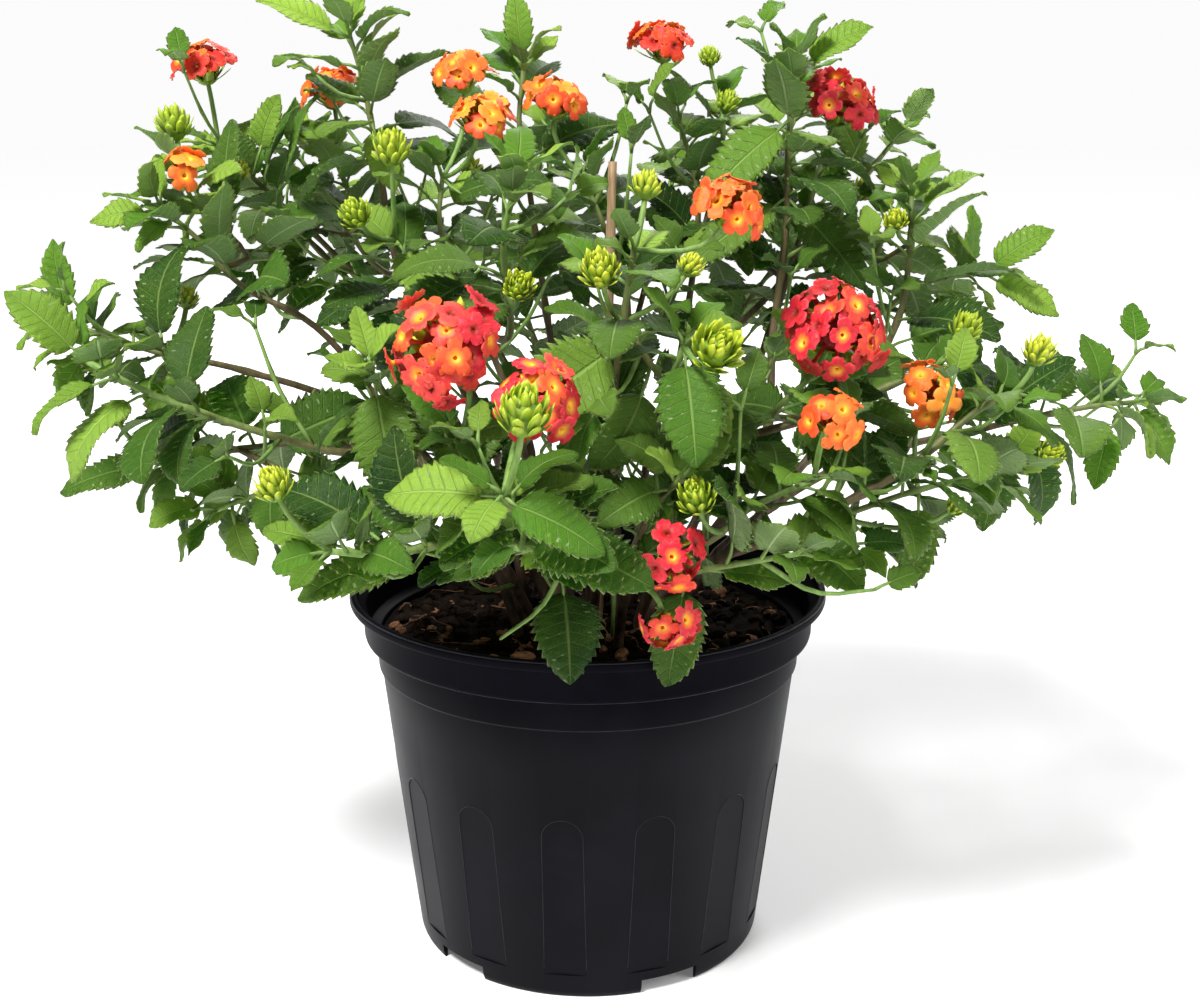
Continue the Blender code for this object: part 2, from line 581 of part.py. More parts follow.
def leaf_proxy(leaf):
    """A plain padded blade and stalk for testing what a leaf would touch."""
    lift = LEAF_RIB_HALF + 0.5 * LEAF_MARGIN
    rows = [0.02, 0.2, 0.42, 0.66, 0.86, 1.0]
    points = []
    for t in rows:
        for level in (lift, -lift):
            for u in (-1.22, 0.0, 1.22):
                points.append(leaf.spot(min(t, 0.97), u, level))
    faces = []
    for i in range(len(rows) - 1):
        a, b = 6 * i, 6 * (i + 1)
        faces += [(a, a + 1, b + 1, b), (a + 1, a + 2, b + 2, b + 1)]
        faces += [(a + 3, b + 3, b + 4, a + 4), (a + 4, b + 4, b + 5, a + 5)]
        faces += [(a, b, b + 3, a + 3), (a + 2, a + 5, b + 5, b + 2)]
    return points, faces


def tube_proxy(points, radii, margin):
    """A square tube round a jointed line."""
    corners = []
    for i, point in enumerate(points):
        before = points[max(i - 1, 0)]
        after = points[min(i + 1, len(points) - 1)]
        along = (after - before).normalized()
        side = along.orthogonal().normalized()
        up = along.cross(side)
        room = radii[i] + margin
        corners += [point + side * room, point + up * room, point - side * room, point - up * room]
    faces = []
    for i in range(len(points) - 1):
        for k in range(4):
            faces.append((4 * i + k, 4 * i + (k + 1) % 4, 4 * i + 4 + (k + 1) % 4, 4 * i + 4 + k))
    return corners, faces


def ball_proxy(centre, axis, radius):
    """A faceted ball, flattened along its axis."""
    turn = axis.to_track_quat("Z", "Y").to_matrix()
    points = []
    for row in range(1, 6):
        polar = math.pi * row / 6
        for k in range(8):
            angle = 2 * math.pi * k / 8
            spot = Vector((math.sin(polar) * math.cos(angle), math.sin(polar) * math.sin(angle),
                           0.8 * math.cos(polar)))
            points.append(centre + turn @ (spot * radius))
    faces = []
    for row in range(4):
        for k in range(8):
            a, b = 8 * row + k, 8 * row + (k + 1) % 8
            faces.append((a, b, b + 8, a + 8))
    faces += [tuple(range(8)), tuple(range(32, 40))]
    return points, faces


def turned_proxy(profile):
    """A band of faces turned round the pot's axis."""
    points = []
    steps = 32
    for radius, height in profile:
        for k in range(steps):
            angle = 2 * math.pi * k / steps
            points.append(Vector((radius * math.cos(angle), radius * math.sin(angle), height)))
    faces = []
    for row in range(len(profile) - 1):
        for k in range(steps):
            a, b = steps * row + k, steps * row + (k + 1) % steps
            faces.append((a, b, b + steps, a + steps))
    return points, faces


class Crowd:
    """Everything placed so far, for finding room."""

    def __init__(self):
        self.members = []

    def add(self, shape, owner=None):
        points, faces = shape
        spots = np.array([p[:] for p in points])
        self.members.append((spots.min(axis=0), spots.max(axis=0), BVHTree.FromPolygons(points, faces), owner))

    def hits(self, shape, skip=None):
        points, faces = shape
        spots = np.array([p[:] for p in points])
        low, high = spots.min(axis=0), spots.max(axis=0)
        tree = None
        for other_low, other_high, other, owner in self.members:
            if skip is not None and owner == skip:
                continue
            if (low > other_high).any() or (high < other_low).any():
                continue
            if tree is None:
                tree = BVHTree.FromPolygons(points, faces)
            if tree.overlap(other):
                return True
        return False


def pot_profile():
    """The pot's section (radius, height), from the inside of its foot up, over the rim and down."""
    rim_in = RIM_RADIUS - RIM_LIP_WIDTH
    inner_foot = FOOT_RADIUS - WALL + 0.0008
    centre_in = CENTRE_FOOT_RADIUS - WALL
    return [
        (0.0, WALL), (centre_in, WALL), (centre_in + 0.0004, FLOOR_UNDERSIDE + WALL),
        (inner_foot, FLOOR_UNDERSIDE + WALL),
        (STEP_RADIUS - WALL, STEP_HEIGHT - 0.001), (WAIST_RADIUS - WALL - 0.0003, STEP_HEIGHT + 0.003),
        (WAIST_RADIUS - WALL, SKIRT_BOTTOM + 0.0012),
        (SKIRT_RADIUS - WALL - 0.0006, SKIRT_BOTTOM + 0.0020), (SKIRT_RADIUS - WALL, POT_HEIGHT - 0.0052),
        (rim_in, POT_HEIGHT - 0.0022),
        (rim_in + 0.0003, POT_HEIGHT),
        (RIM_RADIUS - 0.0007, POT_HEIGHT), (RIM_RADIUS, POT_HEIGHT - 0.0008),
        (RIM_RADIUS, POT_HEIGHT - 0.0030), (RIM_RADIUS - 0.0008, POT_HEIGHT - 0.0040),
        (SKIRT_RADIUS, POT_HEIGHT - 0.0044), (SKIRT_RADIUS - 0.0005, SKIRT_BOTTOM + 0.0008),
        (SKIRT_RADIUS - 0.0013, SKIRT_BOTTOM), (WAIST_RADIUS + 0.0002, SKIRT_BOTTOM - 0.0002),
        (STEP_RADIUS + 0.0011, STEP_HEIGHT + 0.0006), (STEP_RADIUS, STEP_HEIGHT),
        (FOOT_RADIUS + 0.0003, 0.0020), (FOOT_RADIUS - 0.0006, 0.0),
        (FOOT_RADIUS - WALL, 0.0), (FOOT_RADIUS - WALL, FLOOR_UNDERSIDE),
        (CENTRE_FOOT_RADIUS + 0.0002, FLOOR_UNDERSIDE), (CENTRE_FOOT_RADIUS - 0.0002, 0.0), (0.0, 0.0),
    ]


def pot_inner_radius(height):
    """Radius of the inside of the wall at a height."""
    wall = pot_profile()[3:9]
    for (r0, z0), (r1, z1) in zip(wall, wall[1:]):
        if z0 <= height <= z1:
            return r0 + (r1 - r0) * (height - z0) / (z1 - z0)
    return wall[-1][0]


def starting_crowd(runs, heads):
    crowd = Crowd()
    crowd.add(turned_proxy([(r, z) for r, z in pot_profile()[3:20]]))
    crowd.add(turned_proxy([(0.002, SOIL_HEIGHT + 0.003), (0.086, SOIL_HEIGHT + 0.003)]))
    crowd.add(tube_proxy([cm((*CANE_HOLE, 12.9)), cm(CANE_TOP)], [CANE_RADIUS * CM] * 2, LEAF_MARGIN))
    for (x, y), length, width, thick, _ in BARK_CHIPS:
        crowd.add(ball_proxy(Vector((x * CM, y * CM, SOIL_HEIGHT + 0.5 * thick * CM)), Vector((0, 0, 1)),
                             0.5 * length * CM))
    for run in runs:
        points, radii = run.corners()
        crowd.add(tube_proxy(points, radii, 0.4 * LEAF_MARGIN), owner=id(run))
    for head in heads:
        centre = head.centre + head.axis * head.radius * (0.10 if head.florets else 0.0)
        crowd.add(ball_proxy(centre, head.axis, head.radius * 1.10 + 0.5 * LEAF_MARGIN))
    return crowd


def leaf_on(stem, node, base, way, up, length, width, droop, fold, roll=0.0):
    way = way.normalized()
    face = up - way * up.dot(way)
    if face.length < 0.05:
        face = way.orthogonal()
    face = (Matrix.Rotation(roll, 3, way) @ face).normalized()
    return Leaf(stem, node, base, way, face, length, width, droop, fold)


def stalk_corners(leaf, inset):
    """The leaf stalk's line from near its node to the blade."""
    start = leaf.node.lerp(leaf.base, inset)
    return [start, leaf.base]


def leaf_fits(crowd, leaf, run):
    lowest = min(leaf.spot(t, u).z for t in (0.4, 1.0) for u in (-1, 1))
    if lowest < SOIL_HEIGHT + 0.004:
        return False
    if crowd.hits(leaf_proxy(leaf)):
        return False
    line = stalk_corners(leaf, 0.3)
    return not crowd.hits(tube_proxy(line, [0.0008, 0.0008], 0.3 * LEAF_MARGIN), skip=id(run))


def keep_leaf(crowd, leaf, leaves):
    crowd.add(leaf_proxy(leaf))
    crowd.add(tube_proxy(stalk_corners(leaf, 0.3), [0.0008, 0.0008], 0.3 * LEAF_MARGIN))
    leaves.append(leaf)


def feature_leaf(runs, crowd, plan, rng):
    """A leaf with a given base and tip, from the nearest node of its stem."""
    stem, base, tip, width = plan
    base, tip = cm(base), cm(tip)
    choices = []
    for run in runs:
        if run.stem == stem and run.kind != "stalk":
            choices += [(run, run.samples[i]) for i in run.node_indices()[1:]]
    run, node = min(choices, key=lambda c: (c[1] - base).length)
    chord = tip - base
    reach = (base - node).length
    if reach > 0.016:
        base = node + (base - node) * (0.016 / reach)
    if reach < 0.004 or (base - node).normalized().dot(chord.normalized()) < 0.3:
        base = node + chord.normalized() * 0.007
    for attempt in range(14):
        grow = 1.0 - 0.03 * attempt
        droop = math.radians(38 + 5 * (attempt % 4))
        shake = 0.0 if attempt == 0 else 0.05 + 0.03 * attempt
        way = chord.normalized() + Vector([rng.uniform(-shake, shake) for _ in range(3)])
        up = Vector((0, 0, 1)) + Vector((0, -0.9, 0))
        face = (up - way * up.dot(way) / way.length_squared).normalized()
        start_way = way.normalized() * math.cos(droop / 2) + face * math.sin(droop / 2)
        leaf = leaf_on(stem, node, base, start_way, up, chord.length * 1.04 * grow, width * CM * grow, droop,
                       math.radians(BLADE_FOLD), rng.uniform(-0.15, 0.15))
        if leaf_fits(crowd, leaf, run):
            return leaf
    return None


def rule_leaf(crowd, run, index, order, hand, rng):
    """One leaf of the pair at a node; order counts nodes back from the tip."""
    node = run.samples[index]
    before = run.samples[max(index - 1, 0)]
    after = run.samples[min(index + 1, len(run.samples) - 1)]
    along = (after - before).normalized()
    level = Vector((0, 0, 1)) - along * along.z
    if level.length < 0.2:
        level = Vector((1, 0, 0)) - along * along.x
    level.normalize()
    turn = math.radians(45 + 90 * (order % 2)) + math.pi * hand + rng.uniform(-0.35, 0.35)
    length = TIP_LEAF_LENGTH if order == 0 else NODE_LEAF_LENGTHS[min(order, 6) - 1]
    length *= rng.uniform(0.85, 1.18)
    lean = math.radians(38 + 10 * min(order, 3)) + rng.uniform(-0.12, 0.12)
    droop = math.radians(18 + 11 * min(order, 4)) * rng.uniform(0.7, 1.3)
    fold = math.radians(BLADE_FOLD) * rng.uniform(0.5, 1.5)
    ratio = LEAF_WIDTH_RATIO * rng.uniform(0.9, 1.1)
    for attempt in range(11):
        shift = 0.0 if attempt == 0 else rng.uniform(-0.7, 0.7)
        grow = 1.0 - 0.035 * attempt
        radial = Matrix.Rotation(turn + shift, 3, along) @ level
        radial.z *= 0.55
        way = radial.normalized() * math.sin(lean) + along * math.cos(lean)
        up = Vector((0, 0, 0.8)) + along * 0.35 - radial * 0.3 + Vector((0, -0.15, 0))
        stalk = (0.16 * length + 0.003) * grow
        base = node + way.normalized() * stalk
        leaf = leaf_on(run.stem, node, base, way, up, length * grow, length * grow * ratio, droop, fold,
                       rng.uniform(-0.3, 0.3))
        if leaf_fits(crowd, leaf, run):
            return leaf
    return None


def grow_leaves(runs, crowd, limit):
    """Feature leaves first, then pairs by rule from every tip backwards, in turns."""
    rng = random.Random(5)
    leaves = []
    for plan in FEATURE_LEAVES:
        leaf = feature_leaf(runs, crowd, plan, rng)
        if leaf is not None:
            keep_leaf(crowd, leaf, leaves)
    leafy = [run for run in runs if run.kind != "stalk"]
    for order in range(7):
        for run in leafy:
            indices = run.node_indices()[::-1]
            if order >= len(indices) - 1:
                continue
            index = indices[order]
            if run.samples[index].z < LEAF_FLOOR:
                continue
            for hand in (0, 1):
                if len(leaves) >= limit:
                    return leaves
                leaf = rule_leaf(crowd, run, index, order, hand, rng)
                if leaf is not None:
                    keep_leaf(crowd, leaf, leaves)
    return leaves


def grow_plant(limit):
    runs = grow_stems()
    heads = grow_heads(runs)
    spread_apart(runs, heads)
    crowd = starting_crowd(runs, heads)
    leaves = grow_leaves(runs, crowd, limit)
    return runs, heads, leaves


def clear_scene():
    for thing in list(bpy.data.objects):
        bpy.data.objects.remove(thing, do_unlink=True)


def new_collection(name):
    collection = bpy.data.collections.new(name)
    bpy.context.scene.collection.children.link(collection)
    return collection


def new_material(name):
    colour, roughness = COLOURS[name]
    material = bpy.data.materials.new(name)
    material.use_nodes = True
    shader = material.node_tree.nodes["Principled BSDF"]
    shader.inputs["Base Color"].default_value = (*colour, 1.0)
    shader.inputs["Roughness"].default_value = roughness
    material.diffuse_color = (*colour, 1.0)
    return material


def mesh_object(name, points, faces, collection):
    mesh = bpy.data.meshes.new(name)
    mesh.from_pydata([tuple(p) for p in points], [], faces)
    mesh.update()
    thing = bpy.data.objects.new(name, mesh)
    collection.objects.link(thing)
    return thing


def face_outward(thing):
    shape = bmesh.new()
    shape.from_mesh(thing.data)
    bmesh.ops.recalc_face_normals(shape, faces=shape.faces)
    shape.to_mesh(thing.data)
    shape.free()


def turned_object(name, profile, steps, collection, material):
    """A profile (radius, height) turned round the Z axis by a Screw modifier."""
    points = [(radius, 0.0, height) for radius, height in profile]
    mesh = bpy.data.meshes.new(name)
    mesh.from_pydata(points, [(i, i + 1) for i in range(len(points) - 1)], [])
    thing = bpy.data.objects.new(name, mesh)
    collection.objects.link(thing)
    mesh.materials.append(material)
    screw = thing.modifiers.new("turn", "SCREW")
    screw.steps = steps
    screw.render_steps = steps
    screw.use_merge_vertices = True
    screw.merge_threshold = 0.00002
    screw.use_smooth_shade = False
    return thing


def apply_modifiers(thing):
    """Bake the evaluated mesh into the object and drop its modifiers."""
    graph = bpy.context.evaluated_depsgraph_get()
    baked = bpy.data.meshes.new_from_object(thing.evaluated_get(graph))
    thing.modifiers.clear()
    thing.data = baked


def is_whole(mesh):
    """True for one closed body whose points all stand apart."""
    shape = bmesh.new()
    shape.from_mesh(mesh)
    whole = len(shape.verts) > 0 and all(edge.is_manifold for edge in shape.edges)
    whole = whole and not bmesh.ops.find_doubles(shape, verts=shape.verts, dist=TOUCH)["targetmap"]
    if whole:
        seen = {shape.verts[:][0]}
        front = list(seen)
        while front:
            for edge in front.pop().link_edges:
                fresh = [vertex for vertex in edge.verts if vertex not in seen]
                seen.update(fresh)
                front += fresh
        whole = len(seen) == len(shape.verts)
    shape.free()
    return whole


def join_all(thing, operation, tools):
    """One Boolean of a whole collection with an object, applied; the collection's objects go."""
    whole = False
    cut = thing.modifiers.new("join", "BOOLEAN")
    cut.operation = operation
    cut.operand_type = "COLLECTION"
    cut.collection = tools
    for solver in ("EXACT", "MANIFOLD"):
        cut.solver = solver
        graph = bpy.context.evaluated_depsgraph_get()
        joined = bpy.data.meshes.new_from_object(thing.evaluated_get(graph))
        whole = is_whole(joined)
        if whole:
            break
    thing.modifiers.clear()
    thing.data = joined
    for tool in list(tools.objects):
        bpy.data.objects.remove(tool, do_unlink=True)
    bpy.data.collections.remove(tools)
    return whole


def prism_points(outline, depth):
    """An outline in X and Z carried along Y, as points and faces."""
    count = len(outline)
    points = [(x, 0.0, z) for x, z in outline] + [(x, depth, z) for x, z in outline]
    faces = [tuple(range(count))[::-1], tuple(range(count, 2 * count))]
    for i in range(count):
        j = (i + 1) % count
        faces.append((i, j, j + count, i + count))
    return points, faces


def panel_cutter(index, tools):
    """An arched panel's cutter, sunk a little way into the tapering wall."""
    half = 0.5 * PANEL_WIDTH
    arch = []
    for k in range(7):
        angle = math.pi * k / 6
        arch.append((half * math.cos(angle), PANEL_TOP - half + half * math.sin(angle)))
    outline = [(half * 1.06, 0.010)] + arch + [(-half * 1.06, 0.010)]
    points, faces = prism_points(outline, 0.02)
    thing = mesh_object(f"panel_cutter_{index}", points, faces, tools)
    face_outward(thing)
    lean = math.atan2(STEP_RADIUS - FOOT_RADIUS, STEP_HEIGHT)
    turn = PANEL_TURN + 2 * math.pi * index / PANEL_COUNT
    distance = FOOT_RADIUS * math.cos(math.pi / POT_STEPS) - PANEL_DEPTH
    place = Matrix.Rotation(turn, 4, "Z") @ Matrix.Translation((0, -distance, 0))
    place = place @ Matrix.Rotation(lean, 4, "X") @ Matrix.Translation((0, -0.02, 0))
    thing.data.transform(place)
    return thing


def box_cutter(name, size, place, tools):
    shape = bmesh.new()
    bmesh.ops.create_cube(shape, size=1.0, matrix=place @ Matrix.Diagonal((*size, 1.0)))
    mesh = bpy.data.meshes.new(name)
    shape.to_mesh(mesh)
    shape.free()
    thing = bpy.data.objects.new(name, mesh)
    tools.objects.link(thing)
    return thing


def mark_tool(thing):
    thing.hide_render = True
    thing.display_type = "WIRE"


def build_pot(collection):
    pot = turned_object("pot", pot_profile(), POT_STEPS, collection, new_material("pot"))
    tools = new_collection("pot_cutters")
    for i in range(PANEL_COUNT):
        mark_tool(panel_cutter(i, tools))
    for i in range(NOTCH_COUNT):
        turn = Matrix.Rotation(NOTCH_TURN + 2 * math.pi * i / NOTCH_COUNT, 4, "Z")
        size = (NOTCH_WIDTH, NOTCH_CUT, 2 * NOTCH_HEIGHT)
        mark_tool(box_cutter(f"notch_{i}", size, turn @ Matrix.Translation((0, -FOOT_RADIUS, 0)), tools))
        place = turn @ Matrix.Translation((0, -DRAIN_RADIUS, FLOOR_UNDERSIDE + 0.001))
        mark_tool(box_cutter(f"drain_{i}", DRAIN_SIZE, place, tools))
    join_all(pot, "DIFFERENCE", tools)
    return pot


def soil_profile():
    """The soil's section below its top: down the wall, then in along the floor."""
    inset = CLEARANCE + 0.0003
    edge = pot_inner_radius(SOIL_HEIGHT) - inset
    profile = [(radius, SOIL_HEIGHT) for radius in SOIL_RINGS] + [(edge - 0.0006, SOIL_HEIGHT)]
    for radius, height in pot_profile()[3:7][::-1]:
        if height < SOIL_HEIGHT - 0.001:
            profile.append((radius - inset, max(height, FLOOR_UNDERSIDE + WALL + inset)))
    floor = FLOOR_UNDERSIDE + WALL + inset
    centre_in = CENTRE_FOOT_RADIUS - WALL
    profile += [(centre_in - inset + 0.0004, floor), (centre_in - inset, WALL + inset), (0.0, WALL + inset)]
    return profile


def build_soil(collection, runs):
    soil = turned_object("soil", soil_profile(), SOIL_STEPS, collection, new_material("soil"))
    apply_modifiers(soil)
    for vertex in soil.data.vertices:
        if vertex.co.z > SOIL_HEIGHT - 0.0005:
            vertex.co.z = soil_height(vertex.co.x, vertex.co.y)
    tools = new_collection("soil_cutters")
    holes = [(run.root.x, run.root.y, HOLE_RADIUS) for run in runs if run.root is not None]
    holes.append((CANE_HOLE[0] * CM, CANE_HOLE[1] * CM, CANE_RADIUS * CM + 0.0008))
    for i, (x, y, radius) in enumerate(holes):
        shape = bmesh.new()
        bmesh.ops.create_cone(shape, cap_ends=True, segments=HOLE_SIDES, radius1=radius, radius2=radius,
                              depth=2 * HOLE_DEPTH, matrix=Matrix.Translation((x, y, SOIL_HEIGHT)))
        mesh = bpy.data.meshes.new(f"hole_cutter_{i}")
        shape.to_mesh(mesh)
        shape.free()
        cutter = bpy.data.objects.new(mesh.name, mesh)
        tools.objects.link(cutter)
        mark_tool(cutter)
    join_all(soil, "DIFFERENCE", tools)
    return soil


def build_bark_chip(index, collection, material):
    (x, y), length, width, thick, turn = BARK_CHIPS[index]
    rng = random.Random(40 + index)
    shape = bmesh.new()
    bmesh.ops.create_icosphere(shape, subdivisions=1, radius=0.5)
    for vertex in shape.verts:
        vertex.co *= rng.uniform(0.82, 1.12)
    size = Matrix.Diagonal((length * CM, width * CM, thick * CM, 1.0))
    lean = Matrix.Rotation(math.radians(6), 4, "Y")
    place = Matrix.Rotation(math.radians(turn), 4, "Z") @ lean @ size
    bmesh.ops.transform(shape, matrix=place, verts=shape.verts)
    lowest = min(vertex.co.z for vertex in shape.verts)
    rise = SOIL_HEIGHT + CLEARANCE - lowest
    bmesh.ops.translate(shape, vec=(x * CM, y * CM, rise), verts=shape.verts)
    mesh = bpy.data.meshes.new(f"bark_chip_{index + 1}")
    shape.to_mesh(mesh)
    shape.free()
    mesh.materials.append(material)
    collection.objects.link(bpy.data.objects.new(mesh.name, mesh))


def tube_object(name, points, radii, collection, sides_resolution=0, tilt=0.0):
    """A jointed curve of square section, made a mesh with its caps welded."""
    curve = bpy.data.curves.new(name, "CURVE")
    curve.dimensions = "3D"
    curve.bevel_depth = 0.001
    curve.bevel_resolution = sides_resolution
    curve.use_fill_caps = True
    line = curve.splines.new("POLY")
    line.points.add(len(points) - 1)
    for point, place, radius in zip(line.points, points, radii):
        point.co = (*place, 1.0)
        point.radius = radius / 0.001
        point.tilt = tilt
    drawn = bpy.data.objects.new(name + "_line", curve)
    collection.objects.link(drawn)
    bpy.context.view_layer.update()
    graph = bpy.context.evaluated_depsgraph_get()
    mesh = bpy.data.meshes.new_from_object(drawn.evaluated_get(graph))
    shape = bmesh.new()
    shape.from_mesh(mesh)
    bmesh.ops.remove_doubles(shape, verts=shape.verts, dist=0.00002)
    shape.to_mesh(mesh)
    shape.free()
    thing = bpy.data.objects.new(name, mesh)
    thing.matrix_world = drawn.matrix_world
    collection.objects.link(thing)
    bpy.data.objects.remove(drawn, do_unlink=True)
    return thing


def build_cane(collection):
    foot = Vector((CANE_HOLE[0] * CM, CANE_HOLE[1] * CM, SOIL_HEIGHT - HOLE_DEPTH + 0.002))
    ground = Vector((CANE_HOLE[0] * CM, CANE_HOLE[1] * CM, SOIL_HEIGHT + 0.003))
    cane = tube_object("cane", [foot, ground, cm(CANE_TOP)], [CANE_RADIUS * CM] * 3, collection, 1)
    cane.data.materials.clear()
    cane.data.materials.append(new_material("cane"))
    return cane


def zip_strip(outer, inner):
    """Triangles between an edge line and the rib line; both are (t, index) from base to tip."""
    triangles = []
    i = j = 0
    while i < len(outer) - 1 or j < len(inner) - 1:
        step_outer = j == len(inner) - 1 or (i < len(outer) - 1 and outer[i + 1][0] <= inner[j + 1][0])
        if step_outer:
            triangle = (outer[i][1], outer[i + 1][1], inner[j][1])
            i += 1
        else:
            triangle = (outer[i][1], inner[j + 1][1], inner[j][1])
            j += 1
        if len(set(triangle)) == 3:
            triangles.append(triangle)
    return triangles


def tooth_line(teeth):
    """The edge as (t, share of half width): a notch behind each forward tooth."""
    line = []
    for k in range(teeth):
        tip = 0.13 + 0.78 * (k + 0.6) / teeth
        line.append((tip, TOOTH_OUT))
        line.append((tip + 0.05, TOOTH_IN))
    return line


def nudge(rng):
    """A small shift that keeps the corners of joined shapes off each other's edges."""
    return Vector([rng.uniform(-NUDGE, NUDGE) for _ in range(3)])


def leaf_solid(name, leaf, collection, rng):
    """A toothed, arched blade, thick at the rib, with its stalk rooted in the stem."""
    teeth = LARGE_LEAF_TEETH if leaf.length >= LARGE_LEAF else LEAF_TEETH
    ribs = [0.34, 0.68] if leaf.length > SMALL_LEAF else [0.45]
    points = []
    faces = []

    def put(point):
        points.append(point)
        return len(points) - 1

    base_half = 0.0010
    left = put(leaf.base - leaf.side * base_half)
    right = put(leaf.base + leaf.side * base_half)
    under = put(leaf.base - leaf.face * 0.0013)
    tip = put(leaf.spot(1.0, 0.0))
    top_rib = [(t, put(leaf.spot(t, 0.0, LEAF_RIB_HALF))) for t in ribs]
    low_rib = [(t, put(leaf.spot(t, 0.0, -LEAF_RIB_HALF))) for t in ribs]
    edges = {}
    for hand, start in ((-1, left), (1, right)):
        line = [(0.0, start)]
        for t, share in tooth_line(teeth):
            line.append((t, put(leaf.spot(t, hand * share))))
        edges[hand] = line + [(1.0, tip)]
    top_line = top_rib + [(1.0, tip)]
    low_line = [(0.0, under)] + low_rib + [(1.0, tip)]
    faces.append((left, right, top_rib[0][1]))
    for hand in (-1, 1):
        faces += zip_strip(edges[hand], top_line)
        faces += zip_strip(edges[hand], low_line)
    along = (leaf.base - leaf.node).normalized()
    side = leaf.side - along * leaf.side.dot(along)
    side.normalize()
    down = along.cross(side)
    if down.dot(leaf.face) > 0:
        down = -down
    root = leaf.node - along * 0.0002 + nudge(rng)
    ring = [put(root - side * 0.0007), put(root + side * 0.0007), put(root + down * 0.0011)]
    rim = [left, right, under]
    for i in range(3):
        j = (i + 1) % 3
        faces.append((ring[i], ring[j], rim[j]))
        faces.append((ring[i], rim[j], rim[i]))
    faces.append((ring[0], ring[2], ring[1]))
    thing = mesh_object(name, points, faces, collection)
    face_outward(thing)
    return thing


def ring_solid(name, rings, low_pole, high_pole, collection):
    """A closed solid of rings with equal counts between two poles."""
    count = len(rings[0])
    points = [low_pole] + [p for ring in rings for p in ring] + [high_pole]
    last = len(points) - 1
    faces = []
    for k in range(count):
        j = (k + 1) % count
        faces.append((0, 1 + j, 1 + k))
        for row in range(len(rings) - 1):
            a = 1 + row * count
            faces.append((a + k, a + j, a + count + j))
            faces.append((a + k, a + count + j, a + count + k))
        a = 1 + (len(rings) - 1) * count
        faces.append((a + k, a + j, last))
    thing = mesh_object(name, points, faces, collection)
    face_outward(thing)
    return thing


def ring(centre, turn, radius, height, count, phase=0.0):
    spots = []
    for k in range(count):
        angle = 2 * math.pi * (k + phase) / count
        spots.append(centre + turn @ Vector((radius * math.cos(angle), radius * math.sin(angle), height)))
    return spots


def bud_solid(name, head, collection):
    """A bud head: a ball crowned with pointed bracts."""
    turn = head.axis.to_track_quat("Z", "Y").to_matrix()
    r = head.radius
    rings = [ring(head.centre, turn, 0.50 * r, -0.45 * r, BUD_POINTS, 0.1),
             ring(head.centre, turn, 1.00 * r, 0.18 * r, BUD_POINTS, 0.1),
             ring(head.centre, turn, 0.52 * r, 0.16 * r, BUD_POINTS, 0.6)]
    low = head.centre + turn @ Vector((0, 0, -0.75 * r))
    high = head.centre + turn @ Vector((0, 0, 0.62 * r))
    return ring_solid(name, rings, low, high, collection)


def cup_solid(name, head, collection):
    """The green cup under a flower head, flat on top."""
    turn = head.axis.to_track_quat("Z", "Y").to_matrix()
    r = head.radius
    rings = [ring(head.centre, turn, 0.18 * r, -0.50 * r, CUP_SIDES, 0.1),
             ring(head.centre, turn, 0.40 * r, -0.18 * r, CUP_SIDES, 0.1)]
    low = head.centre + turn @ Vector((0, 0, -0.62 * r))
    high = head.centre + turn @ Vector((0, 0, -0.18 * r))
    return ring_solid(name, rings, low, high, collection)


def floret_solid(name, head, direction, size, lobes, spin, collection):
    """A lobed, funnel-shaped floret whose tube runs down into the head's core."""
    turn = head.axis.to_track_quat("Z", "Y").to_matrix()
    r = head.radius
    middle = head.centre - head.axis * 0.25 * r
    way = (turn @ direction).normalized()
    seat = middle + turn @ Vector((direction.x * r, direction.y * r, direction.z * 0.85 * r))
    facing = way.to_track_quat("Z", "Y").to_matrix()
    throat = seat - way * 0.0010
    apex = head.centre + turn @ Vector((direction.x * 0.20 * r, direction.y * 0.20 * r, 0.04 * r))
    points = [throat, apex]
    count = 2 * lobes
    for k in range(count):
        angle = 2 * math.pi * k / count + spin
        reach = size * (0.5 if k % 2 == 0 else 0.30)
        points.append(seat + facing @ Vector((reach * math.cos(angle), reach * math.sin(angle), 0.0)))
    faces = []
    for k in range(count):
        a, b = 2 + k, 2 + (k + 1) % count
        faces.append((0, a, b))
        faces.append((1, b, a))
    thing = mesh_object(name, points, faces, collection)
    face_outward(thing)
    return thing


def floret_directions(count, spread):
    """Even spots over a dome by the golden angle, from the rim to the top."""
    spots = []
    for k in range(count):
        height = 1 - (k + 0.5) / count * (1 - math.cos(spread))
        angle = 2.39996 * k
        flat = math.sqrt(max(1 - height * height, 0.0))
        spots.append(Vector((flat * math.cos(angle), flat * math.sin(angle), height)))
    return spots


